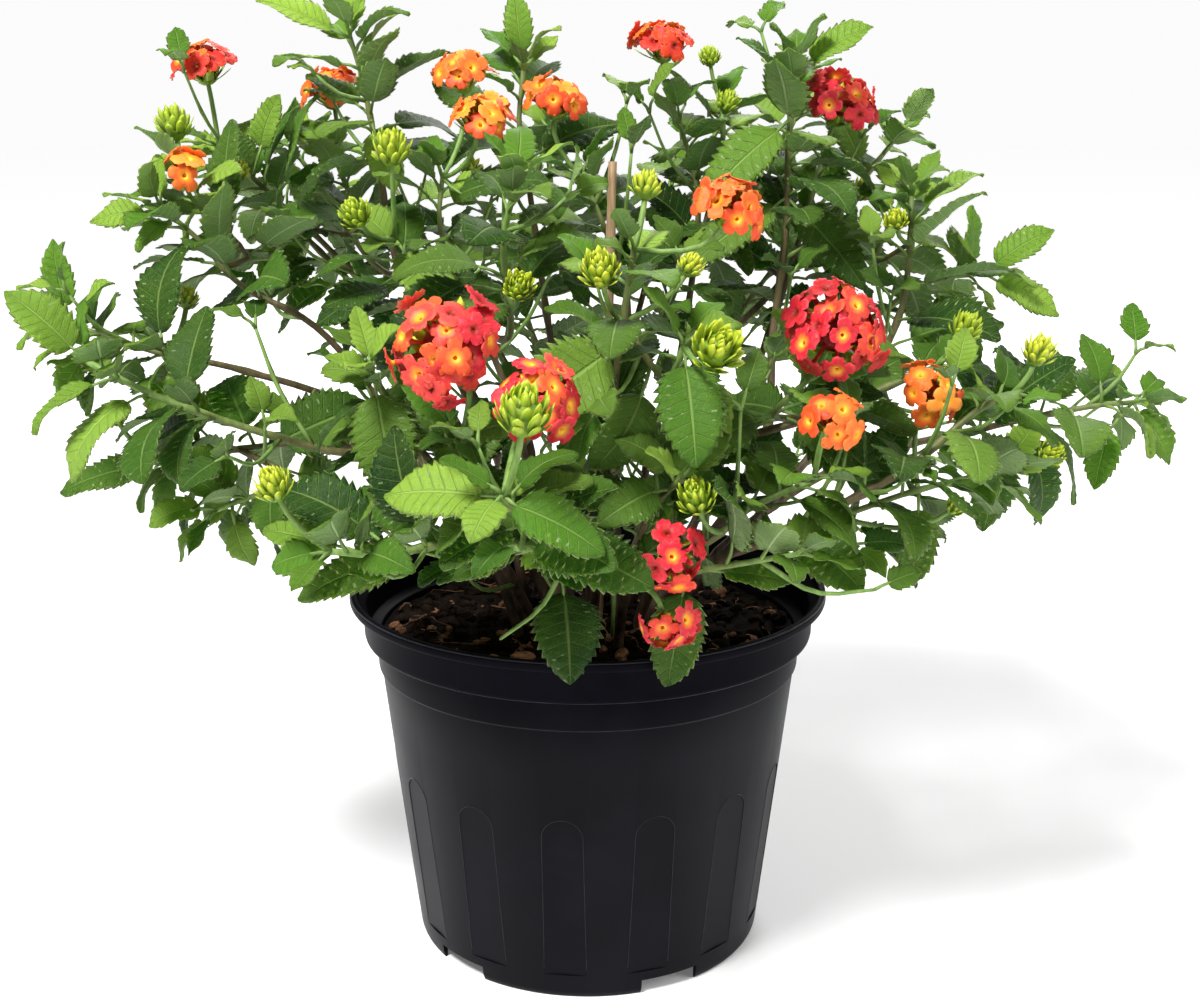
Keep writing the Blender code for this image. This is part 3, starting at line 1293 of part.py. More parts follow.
def build_flower_head(head, collection, materials):
    turn = head.axis.to_track_quat("Z", "Y").to_matrix()
    r = head.radius
    tools = new_collection(head.name + "_florets")
    core_rings = [ring(head.centre, turn, 0.46 * r, -0.18 * r + CLEARANCE, 8),
                  ring(head.centre, turn, 0.66 * r, 0.10 * r, 8),
                  ring(head.centre, turn, 0.34 * r, 0.42 * r, 8)]
    low = head.centre + turn @ Vector((0, 0, -0.18 * r + CLEARANCE))
    high = head.centre + turn @ Vector((0, 0, 0.46 * r))
    core = ring_solid(head.name, core_rings, low, high, collection)
    core.data.materials.append(materials[head.colour])
    spread = WIDE_HEAD_SPREAD if head.florets > SPARSE_FLORETS else SPARSE_HEAD_SPREAD
    size = 1.90 * r * math.sqrt(2 * (1 - math.cos(spread)) / head.florets)
    for k, direction in enumerate(floret_directions(head.florets, spread)):
        floret_solid(f"{head.name}_floret_{k}", head, direction, size, FLORET_LOBES, 1.7 * k, tools)
    join_all(core, "UNION", tools)
    return core


def stem_pieces(name, runs, heads, leaves, collection, tools, rng):
    """The main stem in the collection, and all that joins it among the tools."""
    stem = None
    for i, run in enumerate([r for r in runs if r.stem == name]):
        points, radii = run.corners()
        if run.parent is not None:
            points[0] = points[0] - (points[1] - points[0]).normalized() * CHILD_SINK + nudge(rng)
        owner = collection if stem is None else tools
        tube = tube_object(f"stem_{name}" if stem is None else f"{name}_run_{i}", points, radii, owner,
                           tilt=0.35 * i)
        stem = stem or tube
    for i, head in enumerate([h for h in heads if h.stem == name]):
        if head.florets:
            cup_solid(f"{name}_cup_{i}", head, tools)
        else:
            bud_solid(f"{name}_bud_{i}", head, tools)
    for i, leaf in enumerate([leaf for leaf in leaves if leaf.stem == name]):
        leaf_solid(f"{name}_leaf_{i}", leaf, tools, rng)
    return stem


def build_leafy_stem(name, runs, heads, leaves, collection, material):
    """One leafy stem in one body; the roots are shifted a little and joined again if a join fails."""
    for attempt in range(JOIN_ATTEMPTS):
        tools = new_collection(name + "_parts")
        stem = stem_pieces(name, runs, heads, leaves, collection, tools, random.Random(attempt + 1))
        if join_all(stem, "UNION", tools):
            break
        if attempt < JOIN_ATTEMPTS - 1:
            bpy.data.objects.remove(stem, do_unlink=True)
    stem.name = f"stem_{name}"
    stem.data.materials.clear()
    stem.data.materials.append(material)
    return stem


def main():
    clear_scene()
    collection = new_collection("lantana_in_pot")
    runs, heads, leaves = grow_plant(LEAF_LIMIT)
    build_pot(collection)
    build_soil(collection, runs)
    build_cane(collection)
    bark = new_material("bark")
    for i in range(len(BARK_CHIPS)):
        build_bark_chip(i, collection, bark)
    green = new_material("leaf")
    for name in {**STEMS, **back_stems()}:
        build_leafy_stem(name, runs, heads, leaves, collection, green)
    petals = {name: new_material(name) for name in ("scarlet", "crimson", "salmon", "orange")}
    for head in heads:
        if head.florets:
            build_flower_head(head, collection, petals)


main()
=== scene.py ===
"""The looks of the potted lantana: fine leaves, florets, buds, bark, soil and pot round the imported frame."""

import json
import math
import random
from collections import namedtuple
from dataclasses import dataclass

import bmesh
import bpy
import numpy as np
from mathutils import Matrix, Vector
from mathutils.bvhtree import BVHTree

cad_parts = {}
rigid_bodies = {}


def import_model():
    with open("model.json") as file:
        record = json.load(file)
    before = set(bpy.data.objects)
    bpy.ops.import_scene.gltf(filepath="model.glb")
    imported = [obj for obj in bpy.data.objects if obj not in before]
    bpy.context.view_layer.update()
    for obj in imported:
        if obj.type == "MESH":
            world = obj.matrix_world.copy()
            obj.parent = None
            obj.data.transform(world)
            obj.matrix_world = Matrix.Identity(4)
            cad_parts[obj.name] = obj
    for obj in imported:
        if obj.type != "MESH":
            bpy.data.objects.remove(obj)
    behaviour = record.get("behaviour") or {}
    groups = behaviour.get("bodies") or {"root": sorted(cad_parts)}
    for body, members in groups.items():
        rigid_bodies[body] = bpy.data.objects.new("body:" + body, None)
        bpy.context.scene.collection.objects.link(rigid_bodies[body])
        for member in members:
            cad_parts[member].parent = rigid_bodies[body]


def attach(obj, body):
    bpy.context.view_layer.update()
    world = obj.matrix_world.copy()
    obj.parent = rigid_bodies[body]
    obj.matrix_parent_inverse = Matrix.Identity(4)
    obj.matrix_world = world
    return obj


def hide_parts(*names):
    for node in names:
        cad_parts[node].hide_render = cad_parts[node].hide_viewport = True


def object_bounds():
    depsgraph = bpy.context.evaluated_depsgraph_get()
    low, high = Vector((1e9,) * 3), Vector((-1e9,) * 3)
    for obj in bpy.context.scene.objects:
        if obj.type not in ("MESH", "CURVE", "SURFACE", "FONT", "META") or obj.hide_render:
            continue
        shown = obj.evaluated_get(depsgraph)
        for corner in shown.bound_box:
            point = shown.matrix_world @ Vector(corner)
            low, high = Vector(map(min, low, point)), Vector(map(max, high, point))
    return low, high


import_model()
CAD_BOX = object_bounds()

CM = 0.01
CLEARANCE = 0.0003

# Pot, in metres
POT_HEIGHT = 0.1445
RIM_RADIUS = 0.095
RIM_LIP_WIDTH = 0.0032
SKIRT_RADIUS = 0.0900
SKIRT_BOTTOM = 0.1271
WAIST_RADIUS = 0.0845
STEP_HEIGHT = 0.1143
STEP_RADIUS = 0.0832
FOOT_RADIUS = 0.070
WALL = 0.0016
FLOOR_UNDERSIDE = 0.0065
CENTRE_FOOT_RADIUS = 0.018
PANEL_COUNT = 14
PANEL_TURN = math.radians(-6.7)
PANEL_WIDTH = 0.0155
PANEL_TOP = 0.0775
NOTCH_COUNT = 5
NOTCH_TURN = math.radians(-45)
NOTCH_WIDTH = 0.024
NOTCH_HEIGHT = 0.0060

# Soil, in metres
SOIL_HEIGHT = 0.127
SOIL_LUMP = 0.0022
HOLE_DEPTH = 0.024

# Stems, in metres
STEM_SAMPLE = 0.006
NODE_SAMPLES = 5
PEDUNCLE_SAMPLES = 5
STEM_RADIUS_BASE = 0.0023
STEM_RADIUS_TIP = 0.0011
SIDE_RADIUS_BASE = 0.0016
PEDUNCLE_RADIUS = 0.0009
FLOWER_STALK = 0.034
BUD_STALK = 0.026
ROOT_RISE = 0.004
SPREAD_MARGIN = 0.0018
SPREAD_ROUNDS = 70

# Leafy stems: the hole in the soil (x, y), the points that the stem runs through, and its side shoots,
# which leave from the stem's node nearest to their first point. Centimetres.
STEMS = {
    "left_long": dict(
        hole=(-2.6, -0.7),
        main=[(-5, -0.8, 17.5), (-9.1, -1, 21.7), (-12.9, -2, 23.4), (-16, -3, 24.3), (-19, -3, 25.3)],
        sides=[[(-8.7, -4, 20.6), (-11.3, -5, 21.5), (-15, -6, 23.1), (-17.5, -6, 24.4)]]),
    "left_low": dict(
        hole=(-2.7, -2.1),
        main=[(-4.2, -1.6, 17.2), (-6.8, -0.9, 19.8), (-9.9, -2, 20.8), (-14.5, -3, 20.4), (-16, -3, 20.1)],
        sides=[[(-11.2, -4, 19.7), (-13.4, -5.5, 18.9)]]),
    "front_left": dict(
        hole=(-1.2, -3.2),
        main=[(-1, -6, 15.8), (-0.9, -9, 18.1), (-2, -13, 20.5), (-2.4, -15, 21.8)],
        sides=[[(-0.6, -9.4, 18.3), (-2.6, -12, 19.4)],
               [(-3.3, -8, 18.6), (-5.2, -10, 18.8), (-6.7, -11, 18.8), (-8.2, -12, 19.2)]]),
    "left_middle": dict(
        hole=(-2.9, 0.8),
        main=[(-5.5, 0.6, 17.5), (-9.9, 0, 24.2), (-13.2, 0, 26.3), (-14.7, 0, 28), (-16.0, -0.4, 29.3)],
        sides=[[(-13.2, 1, 27.4), (-14.6, 1, 29.0), (-15.3, 1, 30.4)]]),
    "left_high": dict(
        hole=(-1.8, 2.3),
        main=[(-4.5, 3.4, 18.5), (-7.7, 4, 24), (-10.6, 5, 27.2), (-13.1, 5, 29.6), (-15.0, 5, 31.4)],
        sides=[[(-9.6, 6, 28.0), (-10.4, 6, 30.8)]]),
    "left_top": dict(
        hole=(-1.2, 1.1),
        main=[(-3, 2.2, 17.5), (-6.3, 3, 24.2), (-7.7, 3, 27), (-8.3, 3, 31.2), (-8.8, 3, 34.1),
              (-9.2, 3, 35.6)],
        sides=[[(-6.9, 0.6, 26.2), (-7.2, -1.0, 28.2)]]),
    "centre_left": dict(
        hole=(-0.7, -0.3),
        main=[(-2, -0.5, 18), (-3.4, 0, 23), (-4.8, 0, 25.8), (-5.6, 0, 28.6), (-5.5, 0.3, 30.4)],
        sides=[[(-2.8, -3.6, 25.0), (-2.9, -5.2, 28.3), (-2.4, -5.8, 30.6)]]),
    "centre_top": dict(
        hole=(0.1, 2.1),
        main=[(-0.6, 3, 18), (-1.6, 4, 24), (-2.3, 4, 29.4), (-2.7, 4, 32.1), (-2.5, 4, 34.4)],
        sides=[]),
    "centre_short": dict(
        hole=(1.1, 1.3),
        main=[(1.2, 2.6, 20.5), (1.6, 3, 25.4), (0.8, 3, 28), (-0.2, 3, 30.3)],
        sides=[[(2.9, 2.2, 24.5), (3.6, 1.8, 27.0)]]),
    "centre_tall": dict(
        hole=(1.7, 2.5),
        main=[(3, 4, 18), (4.2, 5, 25.1), (4.5, 5, 29.4), (3.7, 5, 32.4)],
        sides=[[(5.0, 6.8, 28.4), (5.6, 7, 31.4), (5.6, 7.4, 33.0)]]),
    "right_tall": dict(
        hole=(2.5, 0.2),
        main=[(4.6, 0.5, 15.8), (7, 1, 19.7), (7.4, 2, 24.3), (7.8, 2, 28.2), (7.8, 2, 31.5), (8, 2, 34.4)],
        sides=[]),
    "right_flower": dict(
        hole=(2.8, 1.7),
        main=[(5, 3, 17.5), (7.4, 4.4, 23.6), (8.7, 4.4, 28.0), (9.4, 4.2, 30.8)],
        sides=[[(11.3, 5, 24.2), (14, 5, 25.9), (16.3, 5, 26.3)]]),
    "right_upper": dict(
        hole=(3.1, -0.7),
        main=[(6.5, -0.4, 17), (10.6, 1, 21.7), (12.2, 1, 25), (12.5, 1, 27.5), (12.5, 1, 29.7)],
        sides=[[(11.6, 3.4, 27.0), (12.6, 4, 29.2)]]),
    "right_far": dict(
        hole=(3.4, 0.9),
        main=[(6.5, 1.6, 16.4), (10.8, 2, 19.0), (16.2, 0.5, 20.8), (19.4, -0.8, 21.8), (21.0, -1, 22)],
        sides=[]),
    "right_front": dict(
        hole=(2.7, -2.0),
        main=[(4.4, -5, 16.6), (7.4, -7.6, 18.9), (10.8, -8, 20.9), (13.1, -8, 23), (14.4, -8, 23.7)],
        sides=[[(5.9, -4.2, 17.0), (9.7, -6, 19.0), (11.8, -6.2, 19.8), (14.7, -6.4, 20.6)]]),
    "front_right": dict(
        hole=(1.2, -2.8),
        main=[(1.5, -5.5, 16.2), (2.2, -8, 19.5), (3.2, -10.6, 21.3)],
        sides=[[(2.6, -8, 17.2), (4.6, -10, 18.1), (7, -10.6, 18.7)],
               [(3.9, -9, 18.6), (5.5, -9.6, 20.0), (7.6, -10, 21.1)],
               [(0.6, -7, 16.6), (1.5, -9.4, 17.4)]]),
    "front_centre": dict(
        hole=(0.2, -1.5),
        main=[(0.5, -3.2, 17.9), (0.9, -7.4, 23.0), (1.2, -8.6, 25.9), (1.6, -9, 28.6)],
        sides=[[(2.6, -9.4, 24.4), (3.2, -10.2, 25.6)]]),
    "right_middle": dict(
        hole=(2.0, -0.9),
        main=[(4.2, -2.6, 19.8), (8.2, -4, 22.0), (11.2, -4.2, 23.3), (12.6, -4.2, 23.9)],
        sides=[[(6.6, -6.4, 22.6), (7.7, -7.8, 24.2)]]),
    "left_front": dict(
        hole=(-2.0, -1.5),
        main=[(-4, -4, 18), (-6.0, -6.5, 21.6), (-7.2, -8, 24.3)],
        sides=[[(-4.8, -7.0, 20.2), (-4.2, -9.4, 22.2)]]),
}

# Stems on the far side, which the photograph hides: they are fanned out by a rule.
BACK_STEM_COUNT = 6
BACK_FAN = (math.radians(22), math.radians(158))
BACK_REACH = (11.5, 16.0)
BACK_HEIGHT = (25.0, 32.5)

# Flower heads: stem, centre, the way the head faces, radius, florets, colour. Centimetres.
FLOWER_HEADS = {
    "flower_left_high": ("left_high", (-15.4, 5, 34.6), (-0.1, -0.25, 1), 1.45, 7, "scarlet"),
    "flower_left_inner": ("left_high", (-10.5, 6, 33.6), (-0.1, -0.35, 1), 1.4, 7, "orange"),
    "flower_centre_back": ("centre_left", (-4.8, 1.6, 34.2), (-0.1, -0.2, 1), 1.3, 5, "orange"),
    "flower_centre_front": ("centre_left", (-3.9, -1.8, 32.6), (0.2, -0.4, 1), 1.3, 5, "orange"),
    "flower_centre_dome": ("centre_short", (-1.3, 3, 33.2), (0.1, -0.2, 1), 1.35, 7, "orange"),
    "flower_tall": ("centre_tall", (3.0, 5, 35.4), (0, -0.3, 1), 1.35, 7, "scarlet"),
    "flower_right_high": ("right_flower", (10.1, 4, 33.1), (0.25, -0.45, 0.85), 1.75, 8, "crimson"),
    "flower_front_high": ("front_centre", (4.6, -10.4, 30.0), (0.3, -0.45, 0.8), 1.3, 5, "orange"),
    "flower_front_large": ("left_front", (-4.0, -12, 25.7), (-0.3, -0.85, 0.45), 2.0, 9, "salmon"),
    "flower_front_small": ("front_left", (-1.8, -12.6, 24.6), (0.25, -0.8, 0.5), 1.3, 5, "salmon"),
    "flower_right_large": ("right_middle", (8.3, -9.4, 26.0), (0.05, -0.85, 0.5), 1.9, 9, "crimson"),
    "flower_right_young": ("front_right", (7.8, -12.2, 23.6), (0.1, -0.8, 0.55), 0.95, 5, "orange"),
    "flower_right_outer": ("right_front", (11.9, -7.6, 23.6), (0.2, -0.7, 0.65), 1.1, 5, "orange"),
    "flower_low_upper": ("front_right", (2.9, -11.4, 18.7), (0.5, -0.75, -0.1), 1.15, 7, "crimson"),
    "flower_low_lower": ("front_right", (2.7, -11.2, 16.5), (0.2, -0.7, -0.6), 0.95, 5, "crimson"),
    "flower_left_tiny": ("left_middle", (-15.0, -1.0, 30.9), (0.2, -0.6, 0.7), 0.7, 3, "orange"),
}

# Bud heads: stem, centre, radius. Centimetres.
BUD_HEADS = [
    ("left_middle", (-15.9, 1.6, 32.4), 0.95), ("left_middle", (-13.7, 2.2, 30.6), 0.60),
    ("left_top", (-7.1, -2.2, 31.6), 0.95), ("left_top", (-8.4, -2.8, 29.3), 0.80),
    ("left_long", (-20.4, -3, 26.0), 0.75), ("left_long", (-15.3, -0.4, 25.9), 0.60),
    ("left_low", (-17.4, -3.6, 22.0), 0.60), ("front_left", (-9.8, -12.8, 21.6), 0.80),
    ("centre_left", (-4.6, 2.6, 30.6), 0.60), ("centre_short", (0.2, 4.4, 31.0), 0.60),
    ("centre_tall", (5.0, 7, 35.0), 0.60), ("centre_tall", (5.6, 4.4, 33.2), 0.65),
    ("right_flower", (10.9, 3.2, 29.8), 0.65), ("front_centre", (0.5, -11.4, 28.2), 0.85),
    ("front_centre", (4.1, -12.6, 25.9), 1.05), ("front_left", (-1.7, -16.6, 24.7), 1.10),
    ("centre_left", (-2.2, -8.2, 27.3), 0.70), ("front_centre", (2.0, -8.2, 30.6), 0.70),
    ("front_centre", (3.5, -8.2, 28.0), 0.60), ("right_middle", (13.6, -4.6, 25.4), 0.80),
    ("right_far", (17.6, -2.4, 20.3), 0.70), ("right_front", (12.9, -7.6, 19.6), 0.50),
    ("front_right", (3.6, -11.6, 20.9), 0.85), ("right_upper", (11.6, -0.6, 28.9), 0.60),
    ("right_front", (15.2, -8.2, 25.2), 0.75),
]

# Leaves that the photograph shows well: stem, base and tip of the blade, width. Centimetres.
FEATURE_LEAVES = [
    ("left_low", (-16.0, -3.0, 20.6), (-19.0, -3.4, 19.8), 1.7),
    ("left_long", (-16.6, -6.2, 24.6), (-18.6, -6.6, 26.6), 1.9),
    ("left_long", (-19.0, -3.2, 25.6), (-19.3, -3.4, 28.0), 1.2),
    ("left_top", (-9.4, 3.0, 35.9), (-12.2, 2.6, 37.0), 1.3),
    ("left_top", (-8.6, 3.0, 33.8), (-7.9, 2.2, 31.6), 1.5),
    ("left_top", (-10.4, -0.6, 29.4), (-8.6, -2.0, 27.2), 2.3),
    ("left_top", (-11.2, -1.4, 27.0), (-10.6, -2.4, 24.9), 2.1),
    ("left_front", (-11.0, -6.4, 25.0), (-10.4, -7.2, 21.4), 2.4),
    ("left_high", (-13.2, 4.6, 31.4), (-12.2, 4.2, 33.4), 1.4),
    ("centre_top", (-2.6, 4.0, 34.6), (-2.9, 4.2, 37.0), 1.2),
    ("centre_left", (-4.4, -1.6, 29.6), (-1.0, -2.6, 30.2), 2.0),
    ("centre_left", (-4.8, -4.6, 27.0), (-7.4, -5.4, 25.0), 2.0),
    ("right_tall", (7.6, 1.6, 33.4), (4.6, 0.8, 30.4), 2.2),
    ("right_tall", (8.2, 2.0, 34.4), (10.4, 1.6, 35.6), 1.6),
    ("right_tall", (7.6, 1.6, 31.0), (4.4, 0.6, 28.8), 2.0),
    ("right_tall", (8.2, 1.4, 30.4), (10.6, 0.4, 27.4), 2.1),
    ("front_centre", (5.9, -7.2, 27.6), (6.2, -8.6, 24.6), 2.4),
    ("right_flower", (16.4, 5.0, 26.6), (18.6, 4.8, 28.0), 1.6),
    ("right_flower", (16.3, 5.0, 26.2), (18.9, 4.8, 24.8), 1.8),
    ("right_far", (21.2, -1.0, 21.6), (22.6, -1.0, 19.6), 1.6),
    ("right_far", (20.0, -1.4, 21.0), (19.4, -1.8, 18.8), 1.4),
    ("right_far", (15.0, -0.8, 21.0), (17.6, -2.2, 23.6), 2.1),
    ("right_front", (15.0, -8.0, 24.0), (17.8, -8.4, 22.4), 2.0),
    ("right_front", (12.6, -7.4, 20.0), (12.7, -8.2, 16.9), 1.9),
    ("right_front", (11.7, -7.6, 20.2), (11.0, -8.4, 17.0), 1.9),
    ("right_front", (7.6, -7.6, 18.4), (9.4, -9.2, 16.9), 2.2),
    ("front_right", (5.4, -7.6, 16.6), (5.0, -8.0, 13.4), 2.0),
    ("front_left", (-1.1, -8.6, 17.4), (-0.8, -10.4, 14.6), 2.6),
    ("front_left", (-4.4, -9.2, 18.4), (-8.0, -9.6, 16.9), 1.8),
    ("front_left", (-2.6, -15.2, 21.6), (-5.6, -14.6, 21.4), 2.1),
    ("front_left", (-2.1, -15.4, 21.6), (0.6, -15.6, 20.2), 2.0),
    ("front_left", (-2.4, -15.6, 22.0), (-3.4, -17.0, 23.8), 1.4),
    ("front_right", (3.9, -10.8, 21.5), (6.0, -12.0, 20.9), 1.7),
    ("left_middle", (-12.6, 0.2, 26.4), (-15.4, 0.6, 27.2), 1.7),
    ("left_middle", (-16.0, -0.6, 29.6), (-18.0, -0.8, 29.2), 1.3),
]

# Leaf shapes. Lengths in metres, angles in degrees.
TIP_LEAF_LENGTH = 0.017
NODE_LEAF_LENGTHS = (0.026, 0.033, 0.037, 0.036, 0.033, 0.030)
LEAF_WIDTH_RATIO = 0.56
LEAF_RIB_HALF = 0.00068
BLADE_SHAPE_BASE = 0.50
BLADE_SHAPE_TIP = 0.80
BLADE_FOLD = 14
LEAF_MARGIN = 0.0010
LEAF_LIMIT = 104
LEAF_FLOOR = 0.146

# The room a leaf is given: places along and half width of its blade's proxy, the proxy's half thickness,
# and the start and half width of its stalk's. The solids' leaves have more than the looks' own.
Room = namedtuple("Room", "rows wide lift inset stalk")
SOLID_ROOM = Room((0.02, 0.2, 0.42, 0.66, 0.86, 0.97), 1.22, LEAF_RIB_HALF + 0.5 * LEAF_MARGIN, 0.3,
                  0.0008 + 0.3 * LEAF_MARGIN)
THIN_ROOM = Room((0.04, 0.25, 0.5, 0.75, 0.97), 1.06, 0.0005, 0.4, 0.0006)
PROXY_STEPS = 32

# Heads: one with this few florets shows the green cup between them.
SPARSE_FLORETS = 5
GOLDEN_ANGLE = 2.39996

# Bark chips on the soil: centre (x, y), length, width, thickness, turn. Centimetres and degrees.
BARK_CHIPS = [
    ((0.3, -6.9), 2.1, 1.3, 0.6, 12), ((-3.9, -5.6), 1.3, 0.9, 0.5, -20),
    ((-2.4, -4.9), 1.2, 0.8, 0.5, 35), ((-5.6, -5.0), 1.1, 0.8, 0.4, 60),
    ((2.7, -6.4), 1.3, 0.9, 0.5, -35),
]

# The cut cane that stands behind the middle: hole, top, radius. Centimetres.
CANE_HOLE = (0.3, 0.6)
CANE_TOP = (1.0, 1.0, 31.0)
CANE_RADIUS = 0.19


def cm(point):
    """A tabled place in centimetres as a vector in metres."""
    return Vector(point) * CM


def fade(x):
    return x * x * (3 - 2 * x)


def around(count):
    """Even angles round a turn."""
    return [2 * math.pi * k / count for k in range(count)]


def facing(way):
    """The turn that takes +Z to a direction."""
    return way.to_track_quat("Z", "Y").to_matrix()


def ring_faces(rows, sides, outward=True, start=0):
    """Quads between rings of points, each with the same number of sides."""
    faces = []
    for i in range(rows - 1):
        for k in range(sides):
            a, b = start + i * sides + k, start + i * sides + (k + 1) % sides
            faces.append((a, b, b + sides, a + sides) if outward else (a, a + sides, b + sides, b))
    return faces


def soil_height(x, y):
    """Height of the lumpy soil, level round each bark chip and where the stems come up."""
    lumps = (math.sin(95 * x + 1.3) * math.cos(81 * y - 0.4)
             + 0.6 * math.sin(163 * y + 2.1) * math.cos(140 * x + 0.7))
    level = 1.0
    for (chip_x, chip_y), length, *_ in BARK_CHIPS:
        gap = math.hypot(x - chip_x * CM, y - chip_y * CM) - 0.6 * length * CM
        level = min(level, fade(min(max(gap / 0.008, 0.0), 1.0)))
    gap = math.hypot(x, y) - 0.038
    level = min(level, 0.25 + 0.75 * fade(min(max(gap / 0.02, 0.0), 1.0)))
    return SOIL_HEIGHT + SOIL_LUMP * 0.5 * lumps * level


@dataclass(eq=False)
class Run:
    """One length of stem: a leafy stem, a side shoot, a twig or the stalk of a head."""

    stem: str
    kind: str
    samples: list
    radii: tuple
    parent: object = None
    parent_sample: int = 0
    root: object = None

    def node_indices(self):
        """Samples that are nodes: every few, and always the last."""
        last = len(self.samples) - 1
        step = PEDUNCLE_SAMPLES if self.kind == "stalk" else NODE_SAMPLES
        indices = list(range(0, last, step))
        if len(indices) > 1 and last - indices[-1] < step / 2:
            indices.pop()
        return indices + [last]

    def radius_at(self, index):
        share = index / max(len(self.samples) - 1, 1)
        return self.radii[0] + (self.radii[1] - self.radii[0]) * share

    def corners(self):
        """Points and radii of the jointed line through the nodes, with the root in the soil."""
        points = [self.samples[i].copy() for i in self.node_indices()]
        radii = [self.radius_at(i) for i in self.node_indices()]
        if self.root is not None:
            points.insert(0, self.root.copy())
            radii.insert(0, self.radii[0])
        return points, radii


def smooth_line(points, step):
    """Points about one step apart along a smooth curve through the given ones."""
    ghosts = [points[0] * 2 - points[1]] + points + [points[-1] * 2 - points[-2]]
    dense = []
    for i in range(1, len(ghosts) - 2):
        a, b, c, d = ghosts[i - 1:i + 3]
        for k in range(12):
            t = k / 12
            dense.append(0.5 * ((2 * b) + (c - a) * t + (2 * a - 5 * b + 4 * c - d) * t * t
                                + (3 * b - a - 3 * c + d) * t * t * t))
    dense.append(points[-1].copy())
    lengths = [0.0]
    for a, b in zip(dense, dense[1:]):
        lengths.append(lengths[-1] + (b - a).length)
    count = max(2, round(lengths[-1] / step))
    samples = []
    j = 0
    for i in range(count + 1):
        target = lengths[-1] * i / count
        while j < len(lengths) - 2 and lengths[j + 1] < target:
            j += 1
        share = (target - lengths[j]) / max(lengths[j + 1] - lengths[j], 1e-9)
        samples.append(dense[j].lerp(dense[j + 1], min(max(share, 0.0), 1.0)))
    return samples


def back_stems():
    """Routes of the far stems, fanned out in plan with a little spread in reach and height."""
    rng = random.Random(11)
    stems = {}
    for i in range(BACK_STEM_COUNT):
        share = i / (BACK_STEM_COUNT - 1)
        angle = BACK_FAN[0] + (BACK_FAN[1] - BACK_FAN[0]) * share + rng.uniform(-0.06, 0.06)
        reach = rng.uniform(*BACK_REACH)
        height = rng.uniform(*BACK_HEIGHT) - 2.5 * (i % 2)
        way = (math.cos(angle), math.sin(angle))
        hole = (2.9 * way[0], 3.4 + 0.7 * (way[1] - 0.5) - 0.9 * abs(way[0]))
        low = 17.2
        main = []
        for part in (0.32, 0.62, 0.86, 1.0):
            rise = low + (height - low) * part ** 1.1
            main.append((way[0] * reach * part, 3.0 + way[1] * (reach - 3.0) * part, rise))
        turned = (math.cos(angle + 0.42), math.sin(angle + 0.42))
        side = []
        for part, lift in ((0.66, 1.2), (0.82, 3.0), (0.94, 4.4)):
            base = low + (height - low) * part
            side.append((turned[0] * reach * part, 3.0 + turned[1] * (reach - 3.0) * part, base + lift * 0.4))
        stems[f"back_{i + 1}"] = dict(hole=hole, main=main, sides=[side] if i % 2 == 0 else [])
    return stems


def grow_stems():
    """Leafy stems and side shoots as runs."""
    runs = []
    for name, plan in {**STEMS, **back_stems()}.items():
        x, y = plan["hole"][0] * CM, plan["hole"][1] * CM
        root = Vector((x, y, SOIL_HEIGHT - HOLE_DEPTH + 0.002))
        foot = Vector((x, y, SOIL_HEIGHT + ROOT_RISE))
        samples = smooth_line([foot] + [cm(p) for p in plan["main"]], STEM_SAMPLE)
        main = Run(name, "stem", samples, (STEM_RADIUS_BASE, STEM_RADIUS_TIP), root=root)
        runs.append(main)
        for side in plan["sides"]:
            first = cm(side[0])
            start = min(main.node_indices()[1:-1], key=lambda i: (main.samples[i] - first).length)
            line = smooth_line([main.samples[start]] + [cm(p) for p in side], STEM_SAMPLE)
            radii = (min(SIDE_RADIUS_BASE, main.radius_at(start)), STEM_RADIUS_TIP)
            runs.append(Run(name, "side", line, radii, parent=main, parent_sample=start))
    return runs


@dataclass(eq=False)
class Head:
    """A flower head or a bud head on its stalk."""

    name: str
    stem: str
    centre: object
    axis: object
    radius: float
    florets: int = 0
    colour: str = None
    stalk: object = None

    def foot(self):
        return self.centre - self.axis * self.radius * (0.50 if self.florets else 0.55)


def add_stalk(runs, head):
    """Curve a stalk from the best placed node of the head's stem into the foot of the head."""
    best = None
    wanted = FLOWER_STALK if head.florets else BUD_STALK
    for run in [r for r in runs if r.stem == head.stem and r.kind != "stalk"]:
        for i in run.node_indices()[1:]:
            node = run.samples[i]
            gap = (node - head.centre).length
            cost = abs(gap - wanted) + 1.5 * max(node.z - head.centre.z + 0.008, 0.0)
            if best is None or cost < best[0]:
                best = (cost, run, i)
    _, run, index = best
    node = run.samples[index]
    if head.axis is None:
        away = head.centre - node
        head.axis = (away.normalized() + Vector((0, 0, 0.8))).normalized()
    foot = head.foot()
    bend = foot - head.axis * (foot - node).length * 0.45
    count = max(3, round((foot - node).length / STEM_SAMPLE))
    samples = []
    for k in range(count + 1):
        t = k / count
        samples.append(node * (1 - t) ** 2 + bend * 2 * t * (1 - t) + foot * t * t)
    radii = (PEDUNCLE_RADIUS * 1.1, PEDUNCLE_RADIUS)
    head.stalk = Run(head.stem, "stalk", samples, radii, parent=run, parent_sample=index)
    runs.append(head.stalk)


def grow_heads(runs):
    heads = []
    for name, (stem, centre, axis, radius, florets, colour) in FLOWER_HEADS.items():
        heads.append(Head(name, stem, cm(centre), Vector(axis).normalized(), radius * CM, florets, colour))
    for i, (stem, centre, radius) in enumerate(BUD_HEADS):
        heads.append(Head(f"bud_{i + 1}", stem, cm(centre), None, radius * CM))
    for head in heads:
        add_stalk(runs, head)
    return heads


